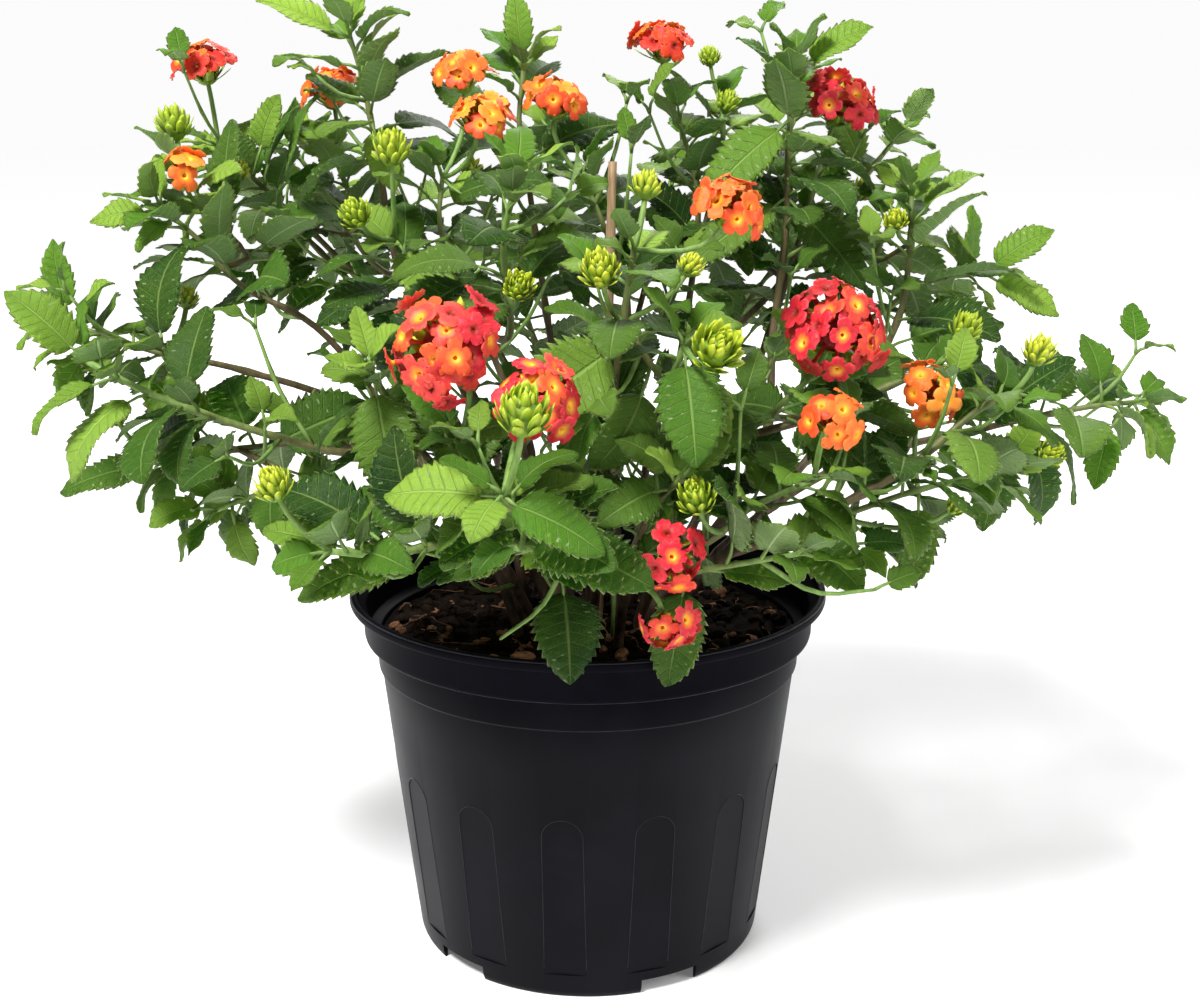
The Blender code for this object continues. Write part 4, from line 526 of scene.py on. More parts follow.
def spread_apart(runs, heads):
    """Ease runs and heads apart until neighbours stand clear, bending each run smoothly."""
    starts = []
    places = []
    rooms = []
    groups = []
    total = 0
    for run in runs:
        starts.append(total)
        total += len(run.samples)
        for i, sample in enumerate(run.samples):
            places.append(sample[:])
            rooms.append(run.radius_at(i) + SPREAD_MARGIN)
            groups.append(run.stem)
    first_head = total
    owners = {id(run): start for run, start in zip(runs, starts)}
    for head in heads:
        places.append(head.centre[:])
        rooms.append(head.radius * 1.02 + 0.001)
        groups.append(head.stem if not head.florets else head.name)
    places = np.array(places)
    rooms = np.array(rooms)
    names = sorted(set(groups))
    groups = np.array([names.index(g) for g in groups])
    distances = np.linalg.norm(places[:, None, :] - places[None, :, :], axis=2)
    near = np.triu(distances < rooms[:, None] + rooms[None, :] + 0.02, 1)
    near &= groups[:, None] != groups[None, :]
    for k, head in enumerate(heads):
        start = owners[id(head.stalk)]
        near[start:start + len(head.stalk.samples), first_head + k] = False
        parent = owners[id(head.stalk.parent)] + head.stalk.parent_sample
        near[max(parent - 4, 0):parent + 5, first_head + k] = False
    first, second = np.nonzero(near)
    moves = np.zeros_like(places)
    weights = np.ones(len(places))
    for run, start in zip(runs, starts):
        if run.root is not None:
            weights[start:start + 2] = 0.0
            weights[start + 2:start + 5] = (0.25, 0.5, 0.75)
    for _ in range(SPREAD_ROUNDS):
        now = places + moves
        apart = now[second] - now[first]
        gap = np.linalg.norm(apart, axis=1)
        short = rooms[first] + rooms[second] - gap
        hit = short > 0
        push = apart[hit] / np.maximum(gap[hit], 1e-6)[:, None] * (0.30 * short[hit])[:, None]
        change = np.zeros_like(moves)
        np.add.at(change, first[hit], -push)
        np.add.at(change, second[hit], push)
        moves += np.clip(change, -0.004, 0.004)
        moves *= weights[:, None]
        for run, start in zip(runs, starts):
            end = start + len(run.samples)
            if run.parent is not None:
                moves[start] = moves[owners[id(run.parent)] + run.parent_sample]
            inner = moves[start:end].copy()
            inner[1:-1] = 0.5 * inner[1:-1] + 0.25 * (inner[:-2] + inner[2:])
            inner[-1] = 0.5 * inner[-1] + 0.5 * inner[-2]
            moves[start:end] = inner
        for k, head in enumerate(heads):
            end = owners[id(head.stalk)] + len(head.stalk.samples) - 1
            both = 0.5 * (moves[end] + moves[first_head + k])
            moves[end] = both
            moves[first_head + k] = both
    for run, start in zip(runs, starts):
        run.samples = [Vector(places[start + i] + moves[start + i]) for i in range(len(run.samples))]
    for k, head in enumerate(heads):
        head.centre = Vector(places[first_head + k] + moves[first_head + k])
        head.centre += head.stalk.samples[-1] - head.foot()


@dataclass(eq=False)
class Leaf:
    """A stalked, arched blade: where it grows, how it lies and how big it is."""

    stem: str
    node: object
    base: object
    way: object
    face: object
    length: float
    width: float
    droop: float
    fold: float

    def __post_init__(self):
        self.side = self.way.cross(self.face).normalized()

    def half_width(self, t):
        a, b = BLADE_SHAPE_BASE, BLADE_SHAPE_TIP
        peak = a / (a + b)
        shape = (max(t, 0.0) ** a) * (max(1 - t, 0.0) ** b) / (peak ** a * (1 - peak) ** b)
        return 0.5 * self.width * shape

    def spot(self, t, u, lift=0.0):
        """Point of the blade: t runs from base to tip, u from edge to edge, lift is off the face."""
        angle = self.droop * t
        reach = self.length / self.droop
        centre = (self.base + self.way * (reach * math.sin(angle))
                  - self.face * (reach * (1 - math.cos(angle))))
        up = self.face * math.cos(angle) + self.way * math.sin(angle)
        across = abs(u) * self.half_width(t)
        sideways = self.side * math.copysign(across * math.cos(self.fold), u)
        return centre + sideways + up * (across * math.sin(self.fold) + lift)


def blade_proxy(leaf, room):
    """A plain padded blade for testing what a leaf would touch."""
    points = [leaf.spot(t, u, level) for t in room.rows for level in (room.lift, -room.lift)
              for u in (-room.wide, 0.0, room.wide)]
    faces = []
    for a in range(0, 6 * (len(room.rows) - 1), 6):
        b = a + 6
        faces += [(a, a + 1, b + 1, b), (a + 1, a + 2, b + 2, b + 1)]
        faces += [(a + 3, b + 3, b + 4, a + 4), (a + 4, b + 4, b + 5, a + 5)]
        faces += [(a, b, b + 3, a + 3), (a + 2, a + 5, b + 5, b + 2)]
    return points, faces


def stalk_proxy(leaf, room):
    """The leaf's stalk, from near its node to the blade."""
    return tube_proxy([leaf.node.lerp(leaf.base, room.inset), leaf.base], [room.stalk] * 2, 0.0)


def tube_proxy(points, radii, margin):
    """A square tube round a jointed line."""
    corners = []
    for i, point in enumerate(points):
        before = points[max(i - 1, 0)]
        after = points[min(i + 1, len(points) - 1)]
        along = (after - before).normalized()
        side = along.orthogonal().normalized()
        up = along.cross(side)
        room = radii[i] + margin
        corners += [point + side * room, point + up * room, point - side * room, point - up * room]
    return corners, ring_faces(len(points), 4)


def ball_proxy(centre, axis, radius):
    """A faceted ball, flattened along its axis."""
    turn = facing(axis)
    points = []
    for row in range(1, 6):
        polar = math.pi * row / 6
        for angle in around(8):
            spot = Vector((math.sin(polar) * math.cos(angle), math.sin(polar) * math.sin(angle),
                           0.8 * math.cos(polar)))
            points.append(centre + turn @ (spot * radius))
    return points, ring_faces(5, 8) + [tuple(range(8)), tuple(range(32, 40))]


def turned_proxy(profile):
    """A band of faces turned round the pot's axis."""
    points = []
    for radius, height in profile:
        for angle in around(PROXY_STEPS):
            points.append(Vector((radius * math.cos(angle), radius * math.sin(angle), height)))
    return points, ring_faces(len(profile), PROXY_STEPS)


class Crowd:
    """Everything placed so far, for finding room."""

    def __init__(self):
        self.members = []

    def add(self, shape, owner=None):
        points, faces = shape
        spots = np.array([p[:] for p in points])
        tree = BVHTree.FromPolygons(points, faces)
        self.members.append((spots.min(axis=0), spots.max(axis=0), tree, owner))

    def hits(self, shape, skip=None):
        points, faces = shape
        spots = np.array([p[:] for p in points])
        low, high = spots.min(axis=0), spots.max(axis=0)
        tree = None
        for other_low, other_high, other, owner in self.members:
            if skip is not None and owner == skip:
                continue
            if (low > other_high).any() or (high < other_low).any():
                continue
            if tree is None:
                tree = BVHTree.FromPolygons(points, faces)
            if tree.overlap(other):
                return True
        return False


def pot_profile():
    """The pot's section (radius, height), from the inside of its foot up, over the rim and down."""
    rim_in = RIM_RADIUS - RIM_LIP_WIDTH
    inner_foot = FOOT_RADIUS - WALL + 0.0008
    centre_in = CENTRE_FOOT_RADIUS - WALL
    return [
        (0.0, WALL), (centre_in, WALL), (centre_in + 0.0004, FLOOR_UNDERSIDE + WALL),
        (inner_foot, FLOOR_UNDERSIDE + WALL),
        (STEP_RADIUS - WALL, STEP_HEIGHT - 0.001), (WAIST_RADIUS - WALL - 0.0003, STEP_HEIGHT + 0.003),
        (WAIST_RADIUS - WALL, SKIRT_BOTTOM + 0.0012),
        (SKIRT_RADIUS - WALL - 0.0006, SKIRT_BOTTOM + 0.0020), (SKIRT_RADIUS - WALL, POT_HEIGHT - 0.0052),
        (rim_in, POT_HEIGHT - 0.0022),
        (rim_in + 0.0003, POT_HEIGHT),
        (RIM_RADIUS - 0.0007, POT_HEIGHT), (RIM_RADIUS, POT_HEIGHT - 0.0008),
        (RIM_RADIUS, POT_HEIGHT - 0.0030), (RIM_RADIUS - 0.0008, POT_HEIGHT - 0.0040),
        (SKIRT_RADIUS, POT_HEIGHT - 0.0044), (SKIRT_RADIUS - 0.0005, SKIRT_BOTTOM + 0.0008),
        (SKIRT_RADIUS - 0.0013, SKIRT_BOTTOM), (WAIST_RADIUS + 0.0002, SKIRT_BOTTOM - 0.0002),
        (STEP_RADIUS + 0.0011, STEP_HEIGHT + 0.0006), (STEP_RADIUS, STEP_HEIGHT),
        (FOOT_RADIUS + 0.0003, 0.0020), (FOOT_RADIUS - 0.0006, 0.0),
        (FOOT_RADIUS - WALL, 0.0), (FOOT_RADIUS - WALL, FLOOR_UNDERSIDE),
        (CENTRE_FOOT_RADIUS + 0.0002, FLOOR_UNDERSIDE), (CENTRE_FOOT_RADIUS - 0.0002, 0.0), (0.0, 0.0),
    ]


def pot_inner_radius(height):
    """Radius of the inside of the wall at a height."""
    wall = pot_profile()[3:9]
    for (r0, z0), (r1, z1) in zip(wall, wall[1:]):
        if z0 <= height <= z1:
            return r0 + (r1 - r0) * (height - z0) / (z1 - z0)
    return wall[-1][0]


def starting_crowd(runs, heads):
    crowd = Crowd()
    crowd.add(turned_proxy([(r, z) for r, z in pot_profile()[3:20]]))
    crowd.add(turned_proxy([(0.002, SOIL_HEIGHT + 0.003), (0.086, SOIL_HEIGHT + 0.003)]))
    crowd.add(tube_proxy([cm((*CANE_HOLE, 12.9)), cm(CANE_TOP)], [CANE_RADIUS * CM] * 2, LEAF_MARGIN))
    for (x, y), length, width, thick, _ in BARK_CHIPS:
        crowd.add(ball_proxy(Vector((x * CM, y * CM, SOIL_HEIGHT + 0.5 * thick * CM)), Vector((0, 0, 1)),
                             0.5 * length * CM))
    for run in runs:
        points, radii = run.corners()
        crowd.add(tube_proxy(points, radii, 0.4 * LEAF_MARGIN), owner=id(run))
    for head in heads:
        centre = head.centre + head.axis * head.radius * (0.10 if head.florets else 0.0)
        crowd.add(ball_proxy(centre, head.axis, head.radius * 1.10 + 0.5 * LEAF_MARGIN))
    return crowd


def leaf_on(stem, node, base, way, up, length, width, droop, fold, roll=0.0):
    way = way.normalized()
    face = up - way * up.dot(way)
    if face.length < 0.05:
        face = way.orthogonal()
    face = (Matrix.Rotation(roll, 3, way) @ face).normalized()
    return Leaf(stem, node, base, way, face, length, width, droop, fold)


def stands_clear(crowd, leaf, run, room):
    return not (crowd.hits(blade_proxy(leaf, room)) or crowd.hits(stalk_proxy(leaf, room), skip=id(run)))


def leaf_fits(crowd, leaf, run):
    """Whether a leaf as in the solids has room above the soil."""
    lowest = min(leaf.spot(t, u).z for t in (0.4, 1.0) for u in (-1, 1))
    return lowest >= SOIL_HEIGHT + 0.004 and stands_clear(crowd, leaf, run, SOLID_ROOM)


def keep_leaf(crowd, leaf, leaves, room):
    crowd.add(blade_proxy(leaf, room))
    crowd.add(stalk_proxy(leaf, room))
    leaves.append(leaf)


def feature_leaf(runs, crowd, plan, rng):
    """A leaf with a given base and tip, from the nearest node of its stem."""
    stem, base, tip, width = plan
    base, tip = cm(base), cm(tip)
    choices = []
    for run in runs:
        if run.stem == stem and run.kind != "stalk":
            choices += [(run, run.samples[i]) for i in run.node_indices()[1:]]
    run, node = min(choices, key=lambda c: (c[1] - base).length)
    chord = tip - base
    reach = (base - node).length
    if reach > 0.016:
        base = node + (base - node) * (0.016 / reach)
    if reach < 0.004 or (base - node).normalized().dot(chord.normalized()) < 0.3:
        base = node + chord.normalized() * 0.007
    for attempt in range(14):
        grow = 1.0 - 0.03 * attempt
        droop = math.radians(38 + 5 * (attempt % 4))
        shake = 0.0 if attempt == 0 else 0.05 + 0.03 * attempt
        way = chord.normalized() + Vector([rng.uniform(-shake, shake) for _ in range(3)])
        up = Vector((0, 0, 1)) + Vector((0, -0.9, 0))
        face = (up - way * up.dot(way) / way.length_squared).normalized()
        start_way = way.normalized() * math.cos(droop / 2) + face * math.sin(droop / 2)
        leaf = leaf_on(stem, node, base, start_way, up, chord.length * 1.04 * grow, width * CM * grow, droop,
                       math.radians(BLADE_FOLD), rng.uniform(-0.15, 0.15))
        if leaf_fits(crowd, leaf, run):
            return leaf
    return None


def rule_leaf(crowd, run, index, order, hand, rng):
    """One leaf of the pair at a node; order counts nodes back from the tip."""
    node = run.samples[index]
    along, level = across_stem(run, index)
    turn = math.radians(45 + 90 * (order % 2)) + math.pi * hand + rng.uniform(-0.35, 0.35)
    length = TIP_LEAF_LENGTH if order == 0 else NODE_LEAF_LENGTHS[min(order, 6) - 1]
    length *= rng.uniform(0.85, 1.18)
    lean = math.radians(38 + 10 * min(order, 3)) + rng.uniform(-0.12, 0.12)
    droop = math.radians(18 + 11 * min(order, 4)) * rng.uniform(0.7, 1.3)
    fold = math.radians(BLADE_FOLD) * rng.uniform(0.5, 1.5)
    ratio = LEAF_WIDTH_RATIO * rng.uniform(0.9, 1.1)
    for attempt in range(11):
        shift = 0.0 if attempt == 0 else rng.uniform(-0.7, 0.7)
        grow = 1.0 - 0.035 * attempt
        radial = Matrix.Rotation(turn + shift, 3, along) @ level
        radial.z *= 0.55
        way = radial.normalized() * math.sin(lean) + along * math.cos(lean)
        up = Vector((0, 0, 0.8)) + along * 0.35 - radial * 0.3 + Vector((0, -0.15, 0))
        stalk = (0.16 * length + 0.003) * grow
        base = node + way.normalized() * stalk
        leaf = leaf_on(run.stem, node, base, way, up, length * grow, length * grow * ratio, droop, fold,
                       rng.uniform(-0.3, 0.3))
        if leaf_fits(crowd, leaf, run):
            return leaf
    return None


def grow_leaves(runs, crowd):
    """Feature leaves first, then pairs by rule from every tip backwards, in turns."""
    rng = random.Random(5)
    leaves = []
    for plan in FEATURE_LEAVES:
        leaf = feature_leaf(runs, crowd, plan, rng)
        if leaf is not None:
            keep_leaf(crowd, leaf, leaves, SOLID_ROOM)
    leafy = [run for run in runs if run.kind != "stalk"]
    for order in range(7):
        for run in leafy:
            indices = run.node_indices()[::-1]
            if order >= len(indices) - 1:
                continue
            index = indices[order]
            if run.samples[index].z < LEAF_FLOOR:
                continue
            for hand in (0, 1):
                if len(leaves) >= LEAF_LIMIT:
                    return leaves
                leaf = rule_leaf(crowd, run, index, order, hand, rng)
                if leaf is not None:
                    keep_leaf(crowd, leaf, leaves, SOLID_ROOM)
    return leaves


def thin_leaf_fits(crowd, leaf, run):
    """Whether a leaf of the looks has room, within the solids' box and clear of the view of lip and soil."""
    low, high = CAD_BOX
    for t, u in ((1.0, 0.0), (0.5, -1.0), (0.5, 1.0)):
        spot = leaf.spot(t, u)
        if any(spot[i] < low[i] - BOX_ROOM or spot[i] > high[i] + BOX_ROOM for i in range(3)):
            return False
        if spot.z < SIGHT_HEIGHT - SIGHT_SLOPE * spot.y:
            return False
        if spot.z < POT_HEIGHT + LIP_ROOM and math.hypot(spot.x, spot.y) > LIP_REACH:
            return False
    return stands_clear(crowd, leaf, run, THIN_ROOM)


def across_stem(run, index):
    """The stem's direction at a sample, and a level direction across it."""
    before = run.samples[max(index - 1, 0)]
    after = run.samples[min(index + 1, len(run.samples) - 1)]
    along = (after - before).normalized()
    level = Vector((0, 0, 1)) - along * along.z
    if level.length < 0.2:
        level = Vector((1, 0, 0)) - along * along.x
    return along, level.normalized()


def grow_twigs(runs, crowd):
    """Short shoots from the axils of the leafy stems, which fill the bush."""
    rng = random.Random(23)
    twigs = []
    for run in [r for r in runs if r.kind != "stalk"]:
        for index in range(2, len(run.samples) - 2, 2):
            if run.samples[index].z < LEAF_FLOOR or rng.random() > TWIG_SHARE:
                continue
            along, level = across_stem(run, index)
            size = rng.uniform(*TWIG_LENGTHS)
            for _ in range(TWIG_TRIES):
                turn = rng.uniform(0, 2 * math.pi)
                lean = math.radians(rng.uniform(32, 68))
                radial = Matrix.Rotation(turn, 3, along) @ level
                way = (radial * math.sin(lean) + along * math.cos(lean)).normalized()
                start = run.samples[index]
                middle = start + way * size * 0.55
                tip = middle + (way + Vector((0, 0, 0.55))).normalized() * size * 0.5
                line = smooth_line([start.copy(), middle, tip], STEM_SAMPLE)
                if any(not low - 0.001 < spot < high + 0.001 for spot, low, high in zip(tip, *CAD_BOX)):
                    continue
                if crowd.hits(tube_proxy(line[1:], [0.0014] * (len(line) - 1), 0.0005)):
                    continue
                twig = Run(run.stem, "twig", line, (0.00105, 0.0006), parent=run, parent_sample=index)
                crowd.add(tube_proxy(line, [0.0009] * len(line), 0.0), owner=id(twig))
                twigs.append(twig)
                break
    return twigs


def looks_leaf(crowd, run, index, hand, rng):
    """A leaf of the looks: on a twig, between the solid's own pairs, or in an axil."""
    node = run.samples[index]
    along, level = across_stem(run, index)
    turn = math.radians(45 + 90 * (index % 2)) + math.pi * hand + rng.uniform(-0.5, 0.5)
    from_tip = (len(run.samples) - 1 - index) * STEM_SAMPLE
    shortest, longest = TWIG_LEAVES if run.kind == "twig" else STEM_LEAVES
    length = min(shortest + 0.60 * from_tip, longest) * rng.uniform(0.82, 1.12)
    droop = math.radians(rng.uniform(15, 75))
    fold = math.radians(BLADE_FOLD) * rng.uniform(0.2, 1.7)
    for attempt in range(12):
        shift = 0.0 if attempt == 0 else rng.uniform(-1.2, 1.2)
        grow = 1.0 - 0.035 * attempt
        lean = math.radians(rng.uniform(32, 85) if from_tip > 0 else rng.uniform(18, 45))
        radial = Matrix.Rotation(turn + shift, 3, along) @ level
        radial.z *= 0.7
        way = radial.normalized() * math.sin(lean) + along * math.cos(lean)
        up = Vector((0, 0, 0.8)) + along * 0.35 - radial * 0.3 + Vector((0, -0.30, 0))
        stalk = rng.uniform(0.16, 0.30) * length + 0.002
        base = node + way.normalized() * stalk * grow
        leaf = leaf_on(run.stem, node, base, way, up, length * grow, length * grow * rng.uniform(0.60, 0.74),
                       droop, fold, rng.uniform(-0.45, 0.45))
        if thin_leaf_fits(crowd, leaf, run):
            return leaf
    return None


def leaves_along(runs, crowd, leaves, wanted, stride, rng):
    """Pairs of leaves from every tip backwards, in turns, until the wanted number stands."""
    for order in range(0, 44, stride):
        for run in runs:
            index = len(run.samples) - 1 - order
            if index < 1 or run.samples[index].z < LOW_LEAF_FLOOR:
                continue
            for hand in (0, 1):
                if len(leaves) >= wanted:
                    return
                leaf = looks_leaf(crowd, run, index, hand, rng)
                if leaf is not None:
                    keep_leaf(crowd, leaf, leaves, THIN_ROOM)


def grow_more_leaves(runs, crowd, leaves):
    """The looks' own leaves: large ones along the stems, then twigs with smaller ones between them."""
    rng = random.Random(17)
    stems = [run for run in runs if run.kind != "stalk"]
    leaves_along(stems[::-1], crowd, leaves, len(leaves) + EXTRA_STEM_LEAVES, 2, rng)
    twigs = grow_twigs(runs, crowd)
    runs += twigs
    leaves_along(twigs, crowd, leaves, len(leaves) + EXTRA_TWIG_LEAVES, 2, rng)
    leaves_along(stems, crowd, leaves, len(leaves) + EXTRA_TWIG_LEAVES // 2, 1, rng)


def grow_plant():
    """Stems, heads and leaves as in the solids, then the looks' own twigs and leaves."""
    runs = grow_stems()
    heads = grow_heads(runs)
    spread_apart(runs, heads)
    crowd = starting_crowd(runs, heads)
    leaves = grow_leaves(runs, crowd)
    grow_more_leaves(runs, crowd, leaves)
    return runs, heads, leaves


def soil_profile():
    """The soil's section below its top: down the wall, then in along the floor."""
    inset = CLEARANCE + 0.0003
    floor = FLOOR_UNDERSIDE + WALL + inset
    profile = [(radius - inset, max(height, floor)) for radius, height in pot_profile()[3:7][::-1]
               if height < SOIL_HEIGHT - 0.001]
    centre_in = CENTRE_FOOT_RADIUS - WALL - inset
    return profile + [(centre_in + 0.0004, floor), (centre_in, WALL + inset)]


def floret_directions(count, spread):
    """Even spots over a dome by the golden angle, from the rim to the top."""
    spots = []
    for k in range(count):
        height = 1 - (k + 0.5) / count * (1 - math.cos(spread))
        angle = GOLDEN_ANGLE * k
        flat = math.sqrt(max(1 - height * height, 0.0))
        spots.append(Vector((flat * math.cos(angle), flat * math.sin(angle), height)))
    return spots


# Fine shapes, in metres
EXTRA_STEM_LEAVES = 420
EXTRA_TWIG_LEAVES = 240
STEM_LEAVES = (0.019, 0.038)
TWIG_LEAVES = (0.016, 0.028)
LOW_LEAF_FLOOR = 0.137
SIGHT_HEIGHT = 0.1405
SIGHT_SLOPE = 0.315
BOX_ROOM = -0.004
LIP_ROOM = 0.006
LIP_REACH = 0.080
TWIG_SHARE = 0.40
TWIG_LENGTHS = (0.022, 0.046)
TWIG_TRIES = 7
LEAF_COLUMNS = (-1.0, -0.80, -0.45, -0.07, 0.07, 0.45, 0.80, 1.0)
BLADE_HALF_THICKNESS = 0.00016
TOOTH_PITCH = 0.0031
TOOTH_REACH = 0.20
VEIN_PAIRS = 9
VEIN_SLOPE = 1.7
QUILT_RISE = 0.00085
MARGIN_WAVE = 0.0010
LEAF_STALK_RADIUS = 0.00062
FLORET_SPAN = 0.0122
POT_FINE_STEPS = 160
PANEL_ARC_STEPS = 20
SOIL_GRID_RINGS = 46
SOIL_GRID_SPOKES = 150
CRUMB_RISE = 0.0007
CRUMB_GRIT = 0.0004
CRUMB_COUNT = 900
ROOTLET_COUNT = 46
SKY_LIGHT = 0.22
SKY_SEEN = 0.97
EYE = (0.00486, -0.62, 0.336)
EYE_TILT = math.radians(75.66)
EYE_LENS = 48.3

PALETTES = {
    "scarlet": ((0.70, 0.012, 0.008), (0.84, 0.050, 0.012), (0.92, 0.180, 0.020)),
    "crimson": ((0.52, 0.002, 0.018), (0.68, 0.004, 0.032), (0.80, 0.040, 0.016)),
    "salmon": ((0.66, 0.004, 0.030), (0.78, 0.055, 0.036), (0.86, 0.080, 0.010)),
    "orange": ((0.86, 0.060, 0.010), (0.92, 0.160, 0.015), (0.95, 0.330, 0.030)),
}
OLD_THROAT = (0.22, 0.004, 0.004)
YOUNG_THROAT = (0.98, 0.50, 0.025)
PALE_RIM = (0.92, 0.30, 0.17)
FLORETS_TO_CM2 = 6.4


def stand(name, data):
    """A new object, linked to the scene."""
    thing = bpy.data.objects.new(name, data)
    bpy.context.scene.collection.objects.link(thing)
    return thing


class Shape:
    """Points, faces and their tones, gathered into one mesh."""

    def __init__(self):
        self.points = []
        self.faces = []
        self.tones = []
        self.uvs = []
        self.slots = []
        self.count = 0

    def add(self, points, faces, tones, uvs=None, slot=0):
        """Tones and uvs have one row for each point."""
        points = np.asarray(points, dtype=float).reshape(-1, 3)
        self.points.append(points)
        tones = np.broadcast_to(np.asarray(tones, dtype=float), (len(points), 4))
        self.tones.append(tones)
        uvs = np.zeros((len(points), 2)) if uvs is None else uvs
        self.uvs.append(np.asarray(uvs, dtype=float))
        self.faces += [tuple(i + self.count for i in face) for face in faces]
        self.slots += [slot] * len(faces)
        self.count += len(points)

    def build(self, name, materials):
        mesh = bpy.data.meshes.new(name)
        points = np.concatenate(self.points)
        mesh.from_pydata(points.tolist(), [], self.faces)
        for material in materials:
            mesh.materials.append(material)
        mesh.polygons.foreach_set("material_index", self.slots)
        tones = np.concatenate(self.tones)
        layer = mesh.color_attributes.new("tone", "FLOAT_COLOR", "POINT")
        layer.data.foreach_set("color", tones.astype(np.float32).ravel())
        uvs = np.concatenate(self.uvs)
        corners = np.empty(len(mesh.loops), dtype=np.int32)
        mesh.loops.foreach_get("vertex_index", corners)
        blade = mesh.uv_layers.new(name="blade")
        blade.data.foreach_set("uv", uvs[corners].astype(np.float32).ravel())
        mesh.shade_smooth()
        mesh.update()
        return stand(name, mesh)


def vectors(v):
    return np.array(v[:])


def blade_points(leaf, t, u, lift):
    """The blade's points for arrays of t, u and lift; the same surface as Leaf.spot."""
    a, b = BLADE_SHAPE_BASE, BLADE_SHAPE_TIP
    peak = a / (a + b)
    inside = np.clip(t, 0.0, 1.0)
    shape = inside ** a * (1 - inside) ** b / (peak ** a * (1 - peak) ** b)
    half = np.maximum(0.5 * leaf.width * shape, 0.00035)
    angle = leaf.droop * t
    reach = leaf.length / leaf.droop
    base, way, face, side = (vectors(v) for v in (leaf.base, leaf.way, leaf.face, leaf.side))
    centre = base + np.outer(reach * np.sin(angle), way) - np.outer(reach * (1 - np.cos(angle)), face)
    up = np.outer(np.cos(angle), face) + np.outer(np.sin(angle), way)
    across = np.abs(u) * half
    return (centre + np.outer(np.sign(u) * across * math.cos(leaf.fold), side)
            + up * (across * math.sin(leaf.fold) + lift)[:, None])


def leaf_rows(length):
    """Places along the blade, three to a tooth, with the share of a tooth at each."""
    teeth = max(5, round(length / TOOTH_PITCH))
    rows = []
    for k in range(teeth):
        for share in (0.03, 0.50, 0.95):
            rows.append((0.02 + 0.96 * (k + share) / teeth, share))
    return rows


def add_fine_leaf(shape, leaf, rng, youth_and_light):
    """One blade with teeth, quilted veins and a wavy margin, closed, and its stalk."""
    rows = leaf_rows(leaf.length)
    columns = np.array(LEAF_COLUMNS)
    wide = len(columns)
    t = np.repeat([row[0] for row in rows], wide)
    share = np.repeat([row[1] for row in rows], wide)
    u = np.tile(columns, len(rows))
    edge = np.abs(u) > 0.99
    near_edge = np.abs(u) ** 6
    tooth = (1 + TOOTH_REACH * (share - 0.55) * near_edge)
    ahead = np.where(edge, 0.006 * share, 0.0)
    phase = VEIN_PAIRS * t - VEIN_SLOPE * np.abs(u) * (0.4 + 0.6 * (1 - t))
    quilt = QUILT_RISE * (leaf.length / 0.035) * np.abs(np.sin(math.pi * phase)) * (1 - np.abs(u) ** 3)
    quilt *= np.minimum(np.abs(u) * 3.5, 1.0)
    wave_turn = rng.uniform(0, 6.28)
    wave = MARGIN_WAVE * np.sin(9 * t + 2.2 * np.sign(u) + wave_turn) * np.abs(u) ** 2
    curl = rng.uniform(-0.16, 0.03) * np.abs(u) ** 2 * 0.5 * leaf.width
    lift = quilt + wave + curl
    top = blade_points(leaf, t + ahead, u * tooth, lift + BLADE_HALF_THICKNESS * (1 - near_edge))
    low = blade_points(leaf, t + ahead, u * tooth, lift - BLADE_HALF_THICKNESS * (1 - near_edge))
    variation = rng.uniform(0, 1)
    count = len(t)
    points = [top]
    uv_top = np.stack([0.5 + 0.5 * u, t], axis=1)
    inner = [i for i in range(count) if not edge[i]]
    low_index = {i: i for i in range(count)} | {i: count + n for n, i in enumerate(inner)}
    points.append(low[inner])
    tip = blade_points(leaf, np.array([1.0]), np.array([0.0]), np.array([0.0]))
    base = blade_points(leaf, np.array([0.0]), np.array([0.0]), np.array([0.0]))
    points += [tip, base]
    tip_index = count + len(inner)
    base_index = tip_index + 1
    faces = []
    last = (len(rows) - 1) * wide
    for i in range(len(rows) - 1):
        for j in range(wide - 1):
            a, b = i * wide + j, i * wide + j + 1
            c, d = b + wide, a + wide
            faces.append((a, b, c, d))
            faces.append((low_index[d], low_index[c], low_index[b], low_index[a]))
    for j in range(wide - 1):
        faces.append((last + j, last + j + 1, tip_index))
        faces.append((low_index[last + j + 1], low_index[last + j], tip_index))
        faces.append((j + 1, j, base_index))
        faces.append((low_index[j], low_index[j + 1], base_index))
    points = np.concatenate(points)
    uvs = np.concatenate([uv_top, uv_top[inner], [[0.5, 1.0]], [[0.5, 0.0]]])
    tones = np.zeros((len(points), 4))
    tones[:, 0] = variation
    tones[:, 1] = youth_and_light
    tones[count:count + len(inner), 2] = 1.0
    tones[:, 3] = 1.0
    shape.add(points, faces, tones, uvs, slot=0)
    bend = leaf.node.lerp(leaf.base, 0.55) + leaf.face * 0.0006
    stalk = [leaf.node.copy(), bend, leaf.base + leaf.way * 0.0012]
    radii = [LEAF_STALK_RADIUS * share for share in (1.15, 1.0, 0.8)]
    add_tube(shape, stalk, radii, 6, (variation, 0.75, 0.0, 1.0), 1)


